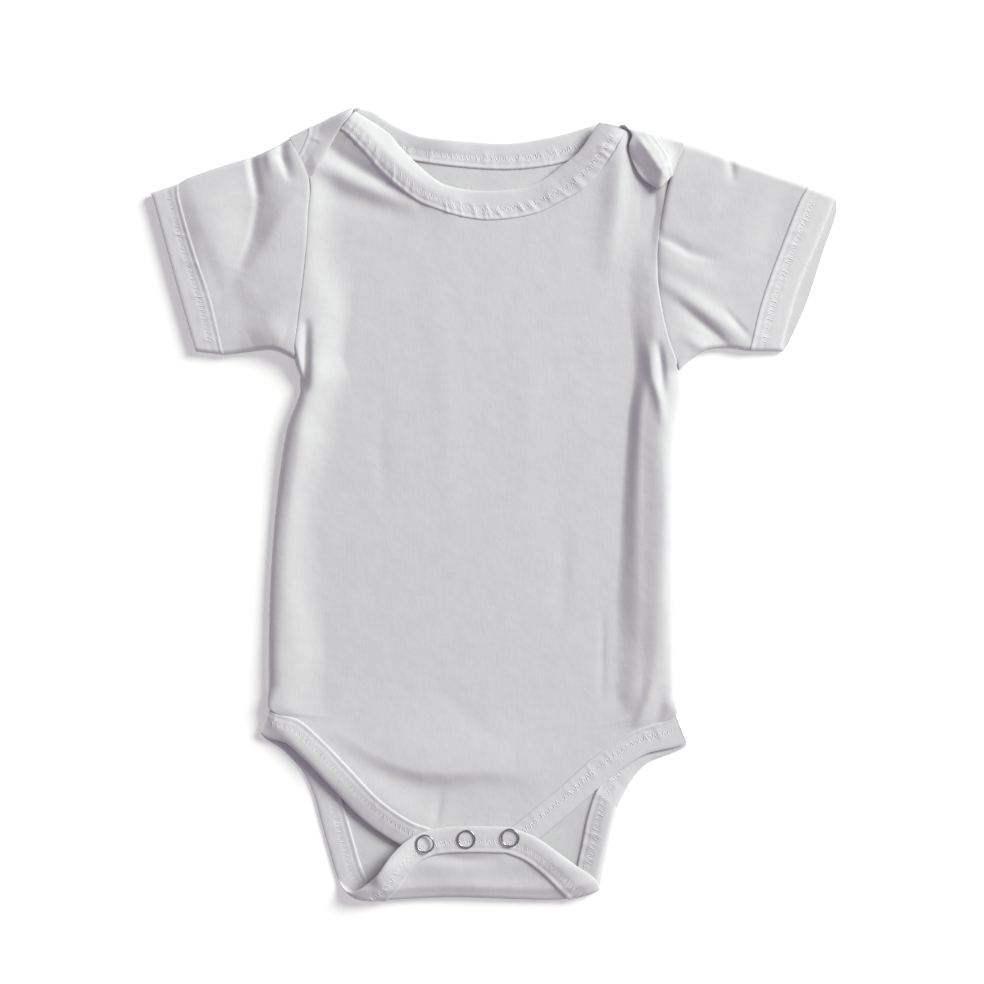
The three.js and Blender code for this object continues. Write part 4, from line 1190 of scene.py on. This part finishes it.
def make_camera():
    data = bpy.data.cameras.new("camera")
    data.lens = LENS
    data.sensor_width = SENSOR
    data.clip_end = 20
    camera = add_object("camera", data)
    distance = FRAME_WIDTH * LENS / SENSOR
    camera.location = [(FRAME_CENTRE[0] + SHIFT[0]) * MM, (FRAME_CENTRE[1] + SHIFT[1]) * MM,
                       distance * MM]
    bpy.context.scene.camera = camera


def make_floor():
    mesh = bpy.data.meshes.new("floor")
    mesh.from_pydata([(-6, -6, -0.0002), (6, -6, -0.0002), (6, 6, -0.0002), (-6, 6, -0.0002)], [],
                     [(0, 1, 2, 3)])
    mesh.materials.append(floor_material())
    add_object("floor", mesh)


def area_light(name, azimuth, elevation, distance, size, power, colour):
    data = bpy.data.lights.new(name, "AREA")
    data.shape = "DISK"
    data.size = size
    data.energy = power
    data.color = colour
    light = add_object(name, data)
    a, e = math.radians(azimuth), math.radians(elevation)
    light.location = (distance * math.cos(e) * math.cos(a), distance * math.cos(e) * math.sin(a),
                      distance * math.sin(e))
    light.rotation_euler = Vector(light.location).to_track_quat("Z", "Y").to_euler()


def make_lights():
    area_light("key", 35, 33, 4.5, 2.3, 236, (0.945, 1.0, 0.925))
    world = bpy.data.worlds.new("studio")
    world.use_nodes = True
    background = world.node_tree.nodes["Background"]
    background.inputs["Color"].default_value = (0.94, 0.82, 1.0, 1)
    background.inputs["Strength"].default_value = 0.35
    bpy.context.scene.world = world
    bpy.context.scene.view_settings.view_transform = "Standard"


def declare_cloth(piece, node, held, rests_on=()):
    """Hides the CAD node that a piece replaces and looks up the cut of its sheet of cloth."""
    width, length, area = CUTS[piece.name]
    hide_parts(node)
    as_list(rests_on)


def main():
    place_frame()
    jersey = jersey_material("jersey", (0.69, 0.69, 0.695), (1500, 160, 400), 0.14)
    band = jersey_material("band", (0.72, 0.72, 0.725), (700, 500, 400), 0.12)
    thread = thread_material()
    chrome = chrome_material()
    declare_cloth(back_panel(jersey), "back_panel", "folded")
    declare_cloth(front_panel(jersey), "front_panel", "laid", ["back_cloth"])
    for side, shape, folds in (("left", LEFT_SLEEVE, LEFT_SLEEVE_FOLDS),
                               ("right", RIGHT_SLEEVE, RIGHT_SLEEVE_FOLDS)):
        sleeve = sleeve_piece(f"{side}_sleeve_cloth", shape, folds, SLEEVE_SEAM_ROWS[side],
                              jersey)
        declare_cloth(sleeve, f"sleeve_{side}", "laid")
        seed = 31 if side == "left" else 32
        cuff, stitches = cuff_piece(f"{side}_cuff_band", shape, folds, CUFF_TILT[side], band,
                                    thread, seed)
        declare_cloth(cuff, f"cuff_{side}", "laid", ())
    front_leg, back_leg = leg_bindings(band, thread)
    front_neck, back_neck = neckbands(band, thread)
    for (piece, stitches), node, held, rests_on in (
            (front_leg, "leg_binding_front", "laid", ["back_cloth"]),
            (back_leg, "leg_binding_back", "folded", []),
            (front_neck, "neckband_front", "laid", ["back_cloth"]),
            (back_neck, "neckband_back", "folded", [])):
        declare_cloth(piece, node, held, rests_on)
    snap_rings(chrome)
    for name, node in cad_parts.items():
        if name.startswith(("snap_socket", "snap_stud")):
            node.data.materials.clear()
            node.data.materials.append(chrome)
    make_camera()
    make_floor()
    make_lights()


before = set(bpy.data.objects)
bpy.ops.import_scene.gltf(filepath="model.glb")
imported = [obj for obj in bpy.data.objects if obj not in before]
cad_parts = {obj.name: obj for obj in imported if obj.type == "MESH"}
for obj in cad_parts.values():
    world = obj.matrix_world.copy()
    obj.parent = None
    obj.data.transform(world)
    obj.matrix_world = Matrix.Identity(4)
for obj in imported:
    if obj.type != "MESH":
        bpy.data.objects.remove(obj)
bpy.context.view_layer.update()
main()
